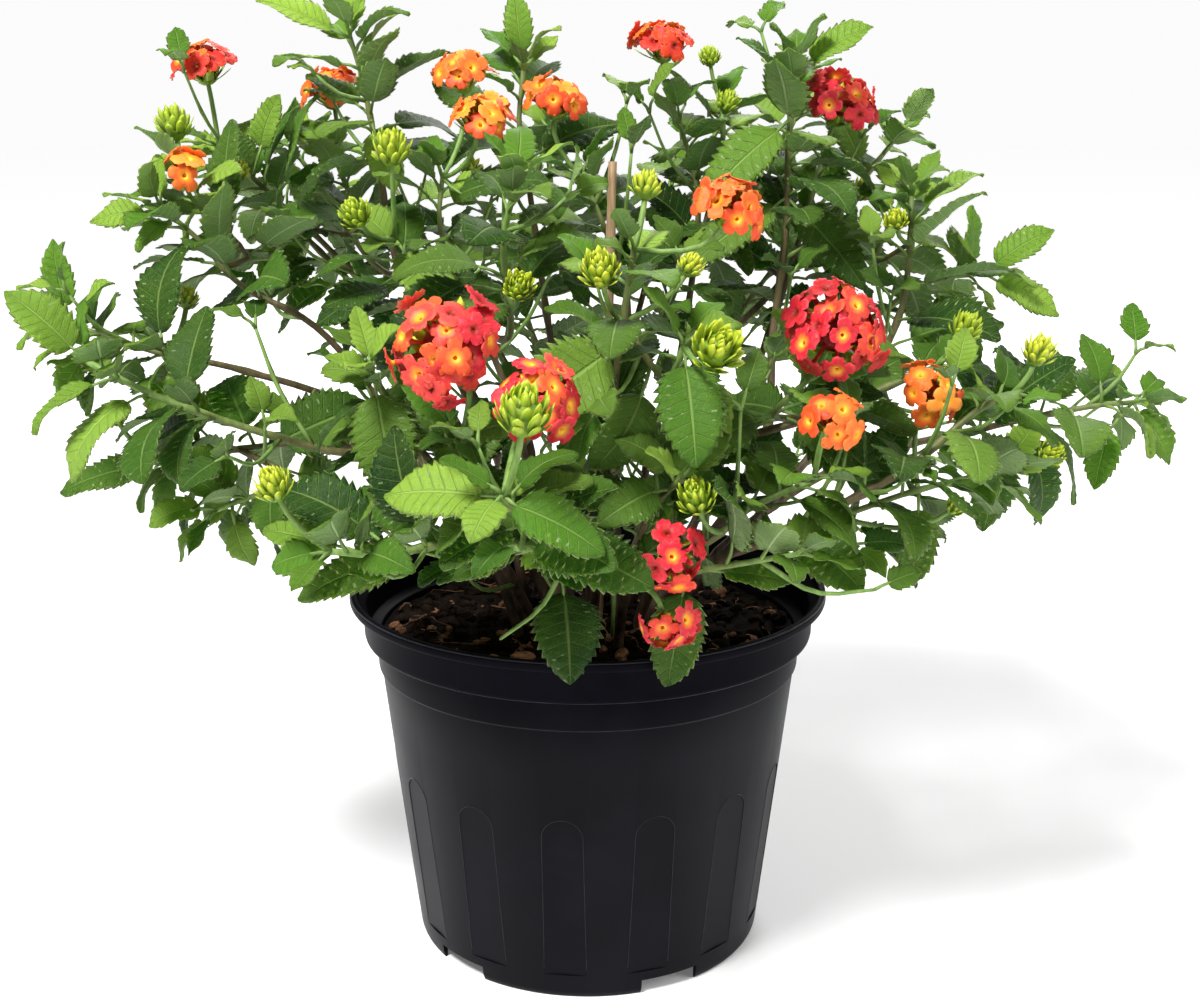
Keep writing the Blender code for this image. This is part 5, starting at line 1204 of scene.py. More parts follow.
def add_tube(shape, path, radii, sides, tone, slot, ridge=0.0, tone_end=None):
    """A tube along a path with a frame that doesn't twist; a ridge above 0 squares its section."""
    path = [vectors(p) for p in path]
    count = len(path)
    before = path[1] - path[0]
    side = np.cross(before, (0.3, 0.5, 0.81))
    side /= np.linalg.norm(side)
    points = []
    tones = []
    for i in range(count):
        along = path[min(i + 1, count - 1)] - path[max(i - 1, 0)]
        along /= max(np.linalg.norm(along), 1e-9)
        side = side - along * side.dot(along)
        side /= np.linalg.norm(side)
        up = np.cross(along, side)
        part = i / (count - 1)
        for angle in around(sides):
            radius = radii[i] * (1 + ridge * math.cos(4 * angle))
            points.append(path[i] + radius * (math.cos(angle) * side + math.sin(angle) * up))
            tones.append([a + (b - a) * part for a, b in zip(tone, tone_end or tone)])
    faces = ring_faces(count, sides)
    faces += [tuple(range(sides))[::-1], tuple(range((count - 1) * sides, count * sides))]
    uvs = [(k / sides, i / 10) for i in range(count) for k in range(sides)]
    shape.add(points, faces, tones, uvs, slot)


def add_run(shape, run):
    """A stem run: ridged, swollen at its nodes, woody low down and green towards its tip."""
    nodes = set(run.node_indices()[1:-1])
    path = [p.copy() for p in run.samples]
    radii = []
    for i in range(len(path)):
        radius = run.radius_at(i)
        if run.kind != "stalk":
            radius *= 0.92
            if i in nodes:
                radius *= 1.28
        radii.append(radius)
    if run.root is not None:
        path.insert(0, run.root.copy())
        radii.insert(0, radii[0])
    woody = {"stem": 0.02, "side": 0.40, "twig": 0.70, "stalk": 0.90}[run.kind]
    green = {"stem": 0.66, "side": 0.80, "twig": 0.92, "stalk": 1.00}[run.kind]
    green_tone = (0.5, green, 0.0, 1.0)
    add_tube(shape, path, radii, 8, (0.5, woody, 0.0, 1.0), 1, ridge=0.10, tone_end=green_tone)
    radius = radii[-1]
    if run.kind != "stalk":
        end = path[-1] + (path[-1] - path[-2]).normalized() * radius * 1.2
        add_tube(shape, [path[-1], path[-1].lerp(end, 0.7), end], [radius, radius * 0.8, radius * 0.25], 8,
                 green_tone, 1)


def add_bract(shape, foot, way, face, length, width, bend, tone, rows=5):
    """A pointed green bract: a slim closed leaf of four-sided section."""
    side = way.cross(face).normalized()
    points = []
    tones = []
    for i in range(rows):
        t = i / rows
        angle = bend * t
        centre = foot + (way * math.cos(angle * 0.5) + face * math.sin(angle * 0.5)) * (length * t)
        half = 0.5 * width * (1 - t) ** 0.6 * (0.45 + 1.5 * t)
        thick = 0.00022
        points += [centre - side * half + face * thick * 0.3, centre + face * thick, centre + side * half
                   + face * thick * 0.3, centre - face * thick]
        tones += [(tone[0], tone[1], t, 1.0)] * 4
    end = foot + way * (length * math.cos(bend * 0.5)) + face * (length * math.sin(bend * 0.5))
    points.append(end)
    tones.append((tone[0], tone[1], 1.0, 1.0))
    faces = [(0, 1, 2, 3)] + ring_faces(rows, 4, outward=False)
    for k in range(4):
        faces.append((4 * (rows - 1) + k, 4 * rows, 4 * (rows - 1) + (k + 1) % 4))
    shape.add([p[:] for p in points], faces, tones, None, slot=2)


def add_ball(shape, centre, turn, radii, tone, slot, rings=6, spokes=12, bumps=0.0, rng=None):
    """A closed, slightly bumpy ellipsoid."""
    points = [centre + turn @ Vector((0, 0, -radii[2]))]
    for i in range(1, rings):
        polar = math.pi * i / rings
        for angle in around(spokes):
            swell = 1 + (rng.uniform(-bumps, bumps) if rng else 0.0)
            points.append(centre + turn @ Vector((radii[0] * math.sin(polar) * math.cos(angle) * swell,
                                                  radii[1] * math.sin(polar) * math.sin(angle) * swell,
                                                  -radii[2] * math.cos(polar) * swell)))
    points.append(centre + turn @ Vector((0, 0, radii[2])))
    faces = ring_faces(rings - 1, spokes, start=1)
    last = len(points) - 1
    for k in range(spokes):
        j = (k + 1) % spokes
        faces += [(0, 1 + j, 1 + k), (last - spokes + k, last - spokes + j, last)]
    shape.add([p[:] for p in points], faces, tone, None, slot)


def seat_bract(shape, head, angle, lean, place, size, bend, tone):
    """A bract at an angle round a head; place (out, up) and size (length, width) are shares of its radius."""
    turn = facing(head.axis)
    out = Vector((math.cos(angle), math.sin(angle), 0))
    way = turn @ (out * math.sin(lean) + Vector((0, 0, math.cos(lean))))
    face = turn @ (Vector((0, 0, math.sin(lean))) - out * math.cos(lean))
    foot = head.centre + turn @ (out * place[0] * head.radius + Vector((0, 0, place[1] * head.radius)))
    add_bract(shape, foot, way, face, size[0] * head.radius, size[1] * head.radius, bend, tone)


# A bud head's rings of bracts: count, height, radius, lean in degrees, length, width; shares of its radius
BUD_RINGS = ((9, -0.50, 0.44, 50, 0.62, 0.44), (10, -0.36, 0.44, 36, 0.80, 0.42),
             (10, -0.18, 0.38, 24, 0.86, 0.38), (8, -0.04, 0.28, 15, 0.80, 0.34),
             (6, 0.06, 0.17, 8, 0.70, 0.30), (3, 0.12, 0.07, 3, 0.60, 0.28))


def add_bud(shape, head, rng):
    """A green bud head: rings of pointed bracts round a ball, opening towards the top."""
    r = head.radius
    tone = (rng.uniform(0, 1), 1.0)
    add_ball(shape, head.centre - head.axis * 0.12 * r, facing(head.axis), (0.52 * r, 0.52 * r, 0.60 * r),
             (tone[0], 0.8, 0.2, 1.0), 2)
    for n, (count, height, radius, lean, length, width) in enumerate(BUD_RINGS):
        for k in range(count):
            angle = 2 * math.pi * (k + 0.5 * (n % 2)) / count + rng.uniform(-0.12, 0.12)
            tilt = math.radians(lean + rng.uniform(-6, 6))
            size = (length * rng.uniform(0.82, 1.12), width)
            bend = math.radians(rng.uniform(6, 34))
            seat_bract(shape, head, angle, tilt, (radius, height), size, bend, tone)


def add_cup(shape, head, rng):
    """The green cup and its bracts under a flower head, showing through a sparse one."""
    r = head.radius
    tone = (rng.uniform(0, 1), 1.0)
    add_ball(shape, head.centre - head.axis * 0.34 * r, facing(head.axis), (0.30 * r, 0.30 * r, 0.20 * r),
             (tone[0], 0.9, 0.2, 1.0), 2)
    for k in range(16):
        angle = 2 * math.pi * k / 16 + rng.uniform(-0.15, 0.15)
        lean = math.radians(rng.uniform(30, 46) if k % 2 else rng.uniform(50, 72))
        size = (rng.uniform(0.66, 0.86), 0.30)
        seat_bract(shape, head, angle, lean, (0.14, -0.46), size, math.radians(16), tone)
    if head.florets <= SPARSE_FLORETS:
        for n, (count, radius, lean) in enumerate(((8, 0.26, 30), (6, 0.15, 14))):
            for k in range(count):
                angle = 2 * math.pi * (k + 0.5 * n) / count
                seat_bract(shape, head, angle, math.radians(lean), (radius, -0.15), (0.62, 0.20),
                           math.radians(-18), tone)


FLORET_SECTION = ((0.09, -0.15), (0.15, -0.01), (0.30, 0.05), (0.55, 0.07), (0.80, 0.03), (1.0, -0.05))


def add_floret(shape, seat, way, foot, span, lobes, spin, colours, throat, rng):
    """A salver-shaped floret: broad wavy lobes round its throat, and a slim curved tube."""
    turn = facing(way) @ Matrix.Rotation(spin, 3, "Z")
    spokes = 7 * lobes
    outer, inner = colours
    cup = rng.uniform(-0.12, 0.24)
    tops, lows, tones = [], [], []
    sizes = [rng.uniform(0.84, 1.12) for _ in range(lobes)]
    tilts = [rng.uniform(-0.12, 0.12) for _ in range(lobes)]
    for share, rise in FLORET_SECTION:
        for k in range(spokes):
            angle = 2 * math.pi * k / spokes
            lobe, part = divmod(k, 7)
            round_edge = math.sin(math.pi * part / 7) ** 0.38 if part else 0.0
            edge = 0.5 * span * (1 - 0.40 * share ** 1.5 * (1 - round_edge))
            edge *= 1 + (sizes[lobe] - 1) * share * round_edge
            wave = 0.035 * span * math.sin(3 * part + 2 * spin) * share ** 3
            height = 0.5 * span * (rise + (cup + tilts[lobe] * round_edge) * share ** 2) + wave
            radius = edge * share
            spot = Vector((radius * math.cos(angle), radius * math.sin(angle), height))
            tops.append(seat + turn @ spot)
            lows.append(seat + turn @ (spot - Vector((0, 0, 0.00022 * (1.15 - share)))))
            glow = max(0.0, 1 - max(share - 0.16, 0.0) / 0.22)
            blend = min(1.2 * share ** 1.3, 1.0)
            colour = [inner[c] + (outer[c] - inner[c]) * blend for c in range(3)]
            rim = 0.35 * max(share - 0.9, 0.0) * 10
            colour = [colour[c] + (PALE_RIM[c] - colour[c]) * rim * 0.16 for c in range(3)]
            colour = [colour[c] + (throat[c] - colour[c]) * glow for c in range(3)]
            tones.append((*colour, 1.0))
    points = tops + lows
    count = len(tops)
    faces = []
    for i in range(len(FLORET_SECTION) - 1):
        for k in range(spokes):
            a, b = i * spokes + k, i * spokes + (k + 1) % spokes
            c, d = b + spokes, a + spokes
            faces.append((d, c, b, a))
            faces.append((a + count, b + count, c + count, d + count))
    edge_row = (len(FLORET_SECTION) - 1) * spokes
    points.append(seat + turn @ Vector((0, 0, -0.16 * 0.5 * span - 0.0006)))
    tones = tones + tones + [(*[0.6 * c for c in throat], 1.0)]
    for k in range(spokes):
        j = (k + 1) % spokes
        faces.append((edge_row + k + count, edge_row + j + count, edge_row + j, edge_row + k))
        faces.append((k, j, 2 * count))
        faces.append((j + count, k + count, 2 * count))
    shape.add([p[:] for p in points], faces, tones, None, 0)
    bend = foot.lerp(seat, 0.6) + Vector((0, 0, -0.0006))
    tube_tone = tuple(0.6 * outer[c] + 0.3 * inner[c] for c in range(3)) + (1.0,)
    add_tube(shape, [foot, bend, seat - way * 0.0008], [0.0006, 0.0007, 0.0010], 7, tube_tone, 0)


def fine_flower(head, rng, material):
    """The florets of one head, oldest and darkest at the rim, with closed buds at the middle."""
    shape = Shape()
    turn = facing(head.axis)
    r = head.radius
    middle = head.centre - head.axis * 0.25 * r
    add_ball(shape, head.centre - head.axis * 0.02 * r, turn, (0.40 * r, 0.40 * r, 0.20 * r),
             (*[0.35 * c for c in PALETTES[head.colour][0]], 1.0), 0)
    count = max(4, round(FLORETS_TO_CM2 * (r / CM) ** 2))
    full = head.florets > SPARSE_FLORETS
    upward = head.axis.z > 0.75
    spread = math.radians(64 if upward else 80)
    lumps = (rng.uniform(0.4, 2.6), rng.uniform(0.4, 2.6))
    for k, direction in enumerate(floret_directions(count, spread)):
        age = 1 - k / max(count - 1, 1)
        if full and r > 0.014 and 0.1 < age < 0.95 and rng.random() < 0.14:
            continue
        jitter = Vector([rng.uniform(-0.11, 0.11) for _ in range(3)])
        direction = (direction + jitter).normalized()
        lump = math.sin(3.1 * direction.x + lumps[0]) * math.sin(2.7 * direction.y + lumps[1])
        reach = rng.uniform(0.84, 1.05) * (1 - (0.24 if full and r > 0.014 else 0.08) * abs(lump))
        seat = middle + turn @ Vector((direction.x * r * reach, direction.y * r * reach,
                                       direction.z * 0.85 * r * reach))
        way = (turn @ direction + Vector([rng.uniform(-0.30, 0.30) for _ in range(3)])).normalized()
        foot = head.centre + turn @ Vector((direction.x * 0.36 * r, direction.y * 0.36 * r, 0.02 * r))
        old, middle_tone, young = PALETTES[head.colour]
        draw = 0.62 * age + rng.uniform(-0.30, 0.42)
        if draw > 0.66:
            outer, inner, throat = young, middle_tone, YOUNG_THROAT
        elif draw > 0.22:
            outer, inner, throat = middle_tone, old, OLD_THROAT if rng.random() < 0.6 else YOUNG_THROAT
        else:
            outer, inner, throat = old, [0.6 * c for c in old], OLD_THROAT
        if head.colour == "orange" or not full:
            throat = YOUNG_THROAT
        shade = rng.uniform(0.86, 1.06)
        outer = [min(c * shade, 0.97) for c in outer]
        if age > 0.96 and full and r < 0.018:
            tone = (*[0.8 * c for c in middle_tone], 1.0)
            add_ball(shape, seat - way * 0.0012, facing(way), (0.0012, 0.0012, 0.0019), tone, 0, 5, 8)
            continue
        span = FLORET_SPAN * rng.uniform(0.88, 1.10)
        lobes = 4 if rng.random() < 0.45 else 5
        add_floret(shape, seat, way, foot, span, lobes, rng.uniform(0, 6.28), (outer, inner), throat, rng)
    return shape.build(head.name + "_florets", [material])


def leaf_youth_and_light(leaf, tips, rng):
    """1 near a growing tip, falling to 0 on the old leaves within the bush, with painted light on the leaves
    further out and higher up and painted shade on those within.
    """
    gap = min((leaf.node - tip).length for tip in tips)
    young = 1 - min(gap / 0.060, 1.0)
    # Painted light and shade: the further out and higher a leaf stands, the paler it is made.
    outward = math.hypot(leaf.base.x, leaf.base.y) / 0.15
    high = (leaf.base.z - 0.17) / 0.16
    open_air = min(max(0.5 * outward + 0.6 * high - 0.15, 0.0), 1.0)
    small = 1 - min(leaf.length / 0.030, 1.0)
    return min(max(0.50 * young * (0.35 + 0.65 * open_air) + 0.25 * open_air + 0.35 * small
                   + rng.uniform(-0.16, 0.22), 0.0), 1.0)


def fine_stem(name, runs, heads, leaves, materials):
    shape = Shape()
    rng = random.Random(sum(ord(c) for c in name))
    own_runs = [run for run in runs if run.stem == name]
    tips = [run.samples[-1] for run in own_runs if run.kind in ("stem", "side")]
    for run in own_runs:
        add_run(shape, run)
    for leaf in leaves:
        if leaf.stem == name:
            add_fine_leaf(shape, leaf, rng, leaf_youth_and_light(leaf, tips, rng))
    for head in heads:
        if head.stem == name:
            if head.florets:
                add_cup(shape, head, rng)
            else:
                add_bud(shape, head, rng)
    return shape.build(f"{name}_foliage", materials)


def math_node(tree, operation, *values):
    node = tree.nodes.new("ShaderNodeMath")
    node.operation = operation
    for i, value in enumerate(values):
        if hasattr(value, "is_output"):
            tree.links.new(value, node.inputs[i])
        else:
            node.inputs[i].default_value = value
    return node.outputs[0]


def times(tree, a, b):
    return math_node(tree, "MULTIPLY", a, b)


def plus(tree, a, b):
    return math_node(tree, "ADD", a, b)


def inverse(tree, a):
    return math_node(tree, "SUBTRACT", 1.0, a)


def mix_colour(tree, factor, a, b):
    node = tree.nodes.new("ShaderNodeMix")
    node.data_type = "RGBA"
    for socket, value in ((node.inputs["Factor"], factor), (node.inputs[6], a), (node.inputs[7], b)):
        if hasattr(value, "is_output"):
            tree.links.new(value, socket)
        elif isinstance(value, tuple):
            socket.default_value = (*value, 1.0)
        else:
            socket.default_value = value
    return node.outputs[2]


def ramp(tree, value, low, high):
    """Value eased from 0 at low to 1 at high."""
    node = tree.nodes.new("ShaderNodeMapRange")
    node.interpolation_type = "SMOOTHSTEP"
    tree.links.new(value, node.inputs["Value"])
    node.inputs["From Min"].default_value = low
    node.inputs["From Max"].default_value = high
    return node.outputs["Result"]


def two_tone(tree, value, low, high, dark, light):
    return mix_colour(tree, ramp(tree, value, low, high), dark, light)


def noise(tree, scale, detail=3.0, roughness=0.55, stretch=None, seed=0.0):
    """Noise in object space, in cycles to the metre."""
    place = tree.nodes.new("ShaderNodeTexCoord")
    vector = place.outputs["Object"]
    if stretch is not None or seed:
        mapping = tree.nodes.new("ShaderNodeMapping")
        mapping.inputs["Scale"].default_value = stretch or (1, 1, 1)
        mapping.inputs["Location"].default_value = (seed, seed * 0.7, seed * 1.3)
        tree.links.new(vector, mapping.inputs["Vector"])
        vector = mapping.outputs["Vector"]
    node = tree.nodes.new("ShaderNodeTexNoise")
    node.inputs["Scale"].default_value = scale
    node.inputs["Detail"].default_value = detail
    node.inputs["Roughness"].default_value = roughness
    tree.links.new(vector, node.inputs["Vector"])
    return node.outputs["Fac"]


def bump(tree, shader, height, distance, strength=1.0):
    node = tree.nodes.new("ShaderNodeBump")
    node.inputs["Distance"].default_value = distance
    node.inputs["Strength"].default_value = strength
    tree.links.new(height, node.inputs["Height"])
    tree.links.new(node.outputs["Normal"], shader.inputs["Normal"])


def tone_channels(tree):
    attribute = tree.nodes.new("ShaderNodeAttribute")
    attribute.attribute_name = "tone"
    split = tree.nodes.new("ShaderNodeSeparateColor")
    tree.links.new(attribute.outputs["Color"], split.inputs[0])
    return attribute.outputs["Color"], split.outputs


def new_shader(name, roughness, specular=0.5):
    material = bpy.data.materials.new(name)
    material.use_nodes = True
    shader = material.node_tree.nodes["Principled BSDF"]
    shader.inputs["Roughness"].default_value = roughness
    shader.inputs["Specular IOR Level"].default_value = specular
    return material, material.node_tree, shader


def let_through(shader, weight, radius):
    """Some of the light that falls on the surface spreads inside it."""
    shader.inputs["Subsurface Weight"].default_value = weight
    shader.inputs["Subsurface Radius"].default_value = radius
    shader.inputs["Subsurface Scale"].default_value = 1.0


def vein_group():
    """Masks over a blade from its UVs: the rib, the side veins, and the fine net between them."""
    group = bpy.data.node_groups.new("leaf_veins", "ShaderNodeTree")
    for name in ("Rib", "Veins", "Net", "Margin"):
        group.interface.new_socket(name, in_out="OUTPUT", socket_type="NodeSocketFloat")
    for name, value in (("Pairs", VEIN_PAIRS), ("Slope", VEIN_SLOPE)):
        socket = group.interface.new_socket(name, in_out="INPUT", socket_type="NodeSocketFloat")
        socket.default_value = value
    given = group.nodes.new("NodeGroupInput")
    out = group.nodes.new("NodeGroupOutput")
    uv = group.nodes.new("ShaderNodeUVMap")
    uv.uv_map = "blade"
    split = group.nodes.new("ShaderNodeSeparateXYZ")
    group.links.new(uv.outputs["UV"], split.inputs[0])
    u, v = split.outputs["X"], split.outputs["Y"]
    across = times(group, math_node(group, "ABSOLUTE", math_node(group, "SUBTRACT", u, 0.5)), 2.0)
    rib = inverse(group, ramp(group, across, 0.015, 0.085))
    lean = plus(group, 0.4, times(group, 0.6, inverse(group, v)))
    slope = times(group, times(group, given.outputs["Slope"], across), lean)
    phase = math_node(group, "SUBTRACT", times(group, given.outputs["Pairs"], v), slope)
    wave = math_node(group, "ABSOLUTE", math_node(group, "SINE", times(group, phase, math.pi)))
    veins = inverse(group, ramp(group, wave, 0.04, 0.26))
    fade_out = inverse(group, ramp(group, across, 0.80, 1.0))
    group.links.new(times(group, veins, fade_out), out.inputs["Veins"])
    group.links.new(rib, out.inputs["Rib"])
    net = group.nodes.new("ShaderNodeTexVoronoi")
    net.feature = "DISTANCE_TO_EDGE"
    net.inputs["Scale"].default_value = 1.0
    stretch = group.nodes.new("ShaderNodeMapping")
    stretch.inputs["Scale"].default_value = (22, 34, 1)
    group.links.new(uv.outputs["UV"], stretch.inputs["Vector"])
    group.links.new(stretch.outputs["Vector"], net.inputs["Vector"])
    lines = inverse(group, ramp(group, net.outputs["Distance"], 0.02, 0.16))
    group.links.new(lines, out.inputs["Net"])
    group.links.new(ramp(group, across, 0.93, 0.995), out.inputs["Margin"])
    return group


def leaf_material(veins):
    material, tree, shader = new_shader("lantana_leaf", 0.5, 0.13)
    colour, parts = tone_channels(tree)
    variation, youth_and_light, under = parts[0], parts[1], parts[2]
    marks = tree.nodes.new("ShaderNodeGroup")
    marks.node_tree = veins
    patch = noise(tree, 60, 3)
    old = two_tone(tree, variation, 0.1, 0.9, (0.0035, 0.0220, 0.0030), (0.0140, 0.0580, 0.0060))
    fresh = two_tone(tree, variation, 0.1, 0.9, (0.075, 0.195, 0.012), (0.260, 0.420, 0.048))
    # From dark old leaves to pale young ones, with painted shade on the inner leaves and painted light on the
    # outer ones.
    green = two_tone(tree, youth_and_light, 0.05, 0.95, old, fresh)
    green = mix_colour(tree, times(tree, ramp(tree, patch, 0.35, 0.75), 0.35), green,
                       mix_colour(tree, 0.5, green, (0.120, 0.200, 0.014)))
    vein_green = mix_colour(tree, 0.45, green, (0.300, 0.420, 0.120))
    lines = math_node(tree, "MAXIMUM", marks.outputs["Rib"], times(tree, marks.outputs["Veins"], 0.70))
    lines = math_node(tree, "MAXIMUM", lines, times(tree, marks.outputs["Net"], 0.20))
    top = mix_colour(tree, times(tree, lines, 0.7), green, vein_green)
    top = mix_colour(tree, times(tree, marks.outputs["Margin"], 0.75), top, (0.330, 0.460, 0.150))
    pale = mix_colour(tree, 0.60, green, (0.230, 0.330, 0.145))
    pale = mix_colour(tree, times(tree, lines, 0.75), pale, (0.400, 0.500, 0.250))
    final = mix_colour(tree, under, top, pale)
    tree.links.new(final, shader.inputs["Base Color"])
    rough = plus(tree, 0.42, times(tree, under, 0.28))
    rough = plus(tree, rough, times(tree, patch, 0.10))
    tree.links.new(rough, shader.inputs["Roughness"])
    height = inverse(tree, math_node(tree, "MAXIMUM", lines, marks.outputs["Veins"]))
    fine = times(tree, noise(tree, 1500, 2), 0.35)
    bump(tree, shader, plus(tree, height, fine), 0.00050, 1.0)
    let_through(shader, 0.18, (0.0012, 0.0022, 0.0005))
    return material


def stem_material():
    material, tree, shader = new_shader("lantana_stem", 0.6)
    _, parts = tone_channels(tree)
    streak = noise(tree, 420, 4, stretch=(1, 1, 0.25))
    bark = two_tone(tree, streak, 0.3, 0.7, (0.030, 0.016, 0.009), (0.125, 0.072, 0.040))
    ruddy = two_tone(tree, streak, 0.3, 0.7, (0.085, 0.050, 0.020), (0.130, 0.110, 0.035))
    green = two_tone(tree, streak, 0.3, 0.7, (0.110, 0.210, 0.035), (0.190, 0.310, 0.065))
    tone = two_tone(tree, parts[1], 0.15, 0.50, bark, ruddy)
    tone = two_tone(tree, parts[1], 0.45, 0.80, tone, green)
    tree.links.new(tone, shader.inputs["Base Color"])
    bump(tree, shader, streak, 0.00035, 0.9)
    return material


def bud_material():
    material, tree, shader = new_shader("lantana_bud", 0.5)
    _, parts = tone_channels(tree)
    speck = noise(tree, 600, 3)
    low = two_tone(tree, speck, 0.3, 0.7, (0.115, 0.225, 0.012), (0.200, 0.310, 0.018))
    high = two_tone(tree, parts[0], 0.2, 0.8, (0.330, 0.440, 0.014), (0.500, 0.540, 0.020))
    tree.links.new(two_tone(tree, parts[2], 0.15, 0.9, low, high), shader.inputs["Base Color"])
    bump(tree, shader, speck, 0.0002, 0.6)
    let_through(shader, 0.15, (0.0015, 0.0025, 0.0006))
    return material


def petal_material():
    material, tree, shader = new_shader("lantana_petal", 0.55, 0.28)
    colour, _ = tone_channels(tree)
    vein = noise(tree, 900, 3)
    shade = mix_colour(tree, times(tree, ramp(tree, vein, 0.3, 0.8), 0.14), colour,
                       (0.95, 0.26, 0.10))
    tree.links.new(shade, shader.inputs["Base Color"])
    bump(tree, shader, vein, 0.0002, 0.5)
    let_through(shader, 0.15, (0.003, 0.001, 0.0006))
    return material


def pot_material():
    material, tree, shader = new_shader("moulded_black_plastic", 0.36)
    # Painted shade: the plastic reflects less towards the top, where the foliage shades it.
    place = tree.nodes.new("ShaderNodeTexCoord")
    split = tree.nodes.new("ShaderNodeSeparateXYZ")
    tree.links.new(place.outputs["Object"], split.inputs[0])
    shaded = ramp(tree, split.outputs["Z"], 0.095, 0.130)
    tree.links.new(math_node(tree, "SUBTRACT", 0.068, times(tree, shaded, 0.054)),
                   shader.inputs["Specular IOR Level"])
    cloud = noise(tree, 28, 4)
    grain = noise(tree, 2600, 2)
    scuff = noise(tree, 240, 5, 0.7, stretch=(1, 1, 6))
    base = two_tone(tree, cloud, 0.3, 0.75, (0.0024, 0.0024, 0.0042), (0.0046, 0.0045, 0.0074))
    marks = times(tree, ramp(tree, scuff, 0.66, 0.80), 0.12)
    tree.links.new(mix_colour(tree, marks, base, (0.022, 0.022, 0.027)), shader.inputs["Base Color"])
    rough = plus(tree, 0.33, times(tree, cloud, 0.16))
    tree.links.new(plus(tree, rough, times(tree, marks, 0.8)),
                   shader.inputs["Roughness"])
    bump(tree, shader, grain, 0.00004, 0.35)
    return material


def pot_highlight_material():
    """The same black plastic made paler and shinier, as the painted highlight along the pot's edges."""
    material, tree, shader = new_shader("rubbed_black_plastic", 0.35, 0.20)
    highlight_noise = noise(tree, 90, 3)
    # Painted highlight: a paler base than the pot's own plastic.
    tone = two_tone(tree, highlight_noise, 0.3, 0.7, (0.005, 0.005, 0.008), (0.014, 0.014, 0.018))
    tree.links.new(tone, shader.inputs["Base Color"])
    bump(tree, shader, noise(tree, 2600, 2), 0.00004, 0.3)
    return material


def soil_material():
    material, tree, shader = new_shader("potting_soil", 0.95, 0.06)
    coarse = noise(tree, 160, 6, 0.65)
    fine = noise(tree, 900, 4, 0.6)
    dark = two_tone(tree, coarse, 0.35, 0.68, (0.0030, 0.0020, 0.0014), (0.0200, 0.0120, 0.0070))
    fleck = times(tree, ramp(tree, fine, 0.60, 0.74), 0.55)
    tree.links.new(mix_colour(tree, fleck, dark, (0.085, 0.044, 0.022)), shader.inputs["Base Color"])
    height = plus(tree, coarse, times(tree, fine, 0.4))
    bump(tree, shader, height, 0.0022, 1.0)
    return material


def bark_material():
    material, tree, shader = new_shader("bark_chip", 0.85)
    layer = noise(tree, 190, 5, 0.6, stretch=(1, 1, 5))
    pit = noise(tree, 700, 3)
    tone = two_tone(tree, layer, 0.32, 0.70, (0.110, 0.042, 0.018), (0.420, 0.180, 0.080))
    tone = mix_colour(tree, times(tree, ramp(tree, pit, 0.55, 0.72), 0.5), tone,
                      (0.430, 0.250, 0.150))
    tree.links.new(tone, shader.inputs["Base Color"])
    bump(tree, shader, plus(tree, layer, pit), 0.0010, 0.9)
    return material


def cane_material():
    material, tree, shader = new_shader("cut_cane", 0.6)
    streak = noise(tree, 500, 4, stretch=(1, 1, 0.08))
    tone = two_tone(tree, streak, 0.3, 0.7, (0.215, 0.130, 0.060), (0.430, 0.300, 0.160))
    tree.links.new(tone, shader.inputs["Base Color"])
    bump(tree, shader, streak, 0.0003, 0.7)
    return material


def arch_cutter(index):
    """One sunk panel's cutter, with a finely stepped arch."""
    half = 0.5 * PANEL_WIDTH
    arch = []
    for k in range(PANEL_ARC_STEPS + 1):
        angle = math.pi * k / PANEL_ARC_STEPS
        arch.append((half * math.cos(angle), PANEL_TOP - half + half * math.sin(angle)))
    outline = [(half * 1.06, 0.010)] + arch + [(-half * 1.06, 0.010)]
    count = len(outline)
    points = [(x, 0.0, z) for x, z in outline] + [(x, 0.02, z) for x, z in outline]
    faces = [tuple(range(count))[::-1], tuple(range(count, 2 * count))]
    for i in range(count):
        j = (i + 1) % count
        faces.append((i, j, j + count, i + count))
    mesh = bpy.data.meshes.new(f"arch_cutter_{index}")
    mesh.from_pydata(points, [], faces)
    lean = math.atan2(STEP_RADIUS - FOOT_RADIUS, STEP_HEIGHT)
    turn = PANEL_TURN + 2 * math.pi * index / PANEL_COUNT
    place = Matrix.Rotation(turn, 4, "Z") @ Matrix.Translation((0, -(FOOT_RADIUS - 0.00045), 0))
    mesh.transform(place @ Matrix.Rotation(lean, 4, "X") @ Matrix.Translation((0, -0.02, 0)))
    shape = bmesh.new()
    shape.from_mesh(mesh)
    bmesh.ops.recalc_face_normals(shape, faces=shape.faces)
    shape.to_mesh(mesh)
    shape.free()
    return bpy.data.objects.new(mesh.name, mesh)


def box_cutter(name, size, place):
    shape = bmesh.new()
    bmesh.ops.create_cube(shape, size=1.0, matrix=place @ Matrix.Diagonal((*size, 1.0)))
    mesh = bpy.data.meshes.new(name)
    shape.to_mesh(mesh)
    shape.free()
    return bpy.data.objects.new(name, mesh)


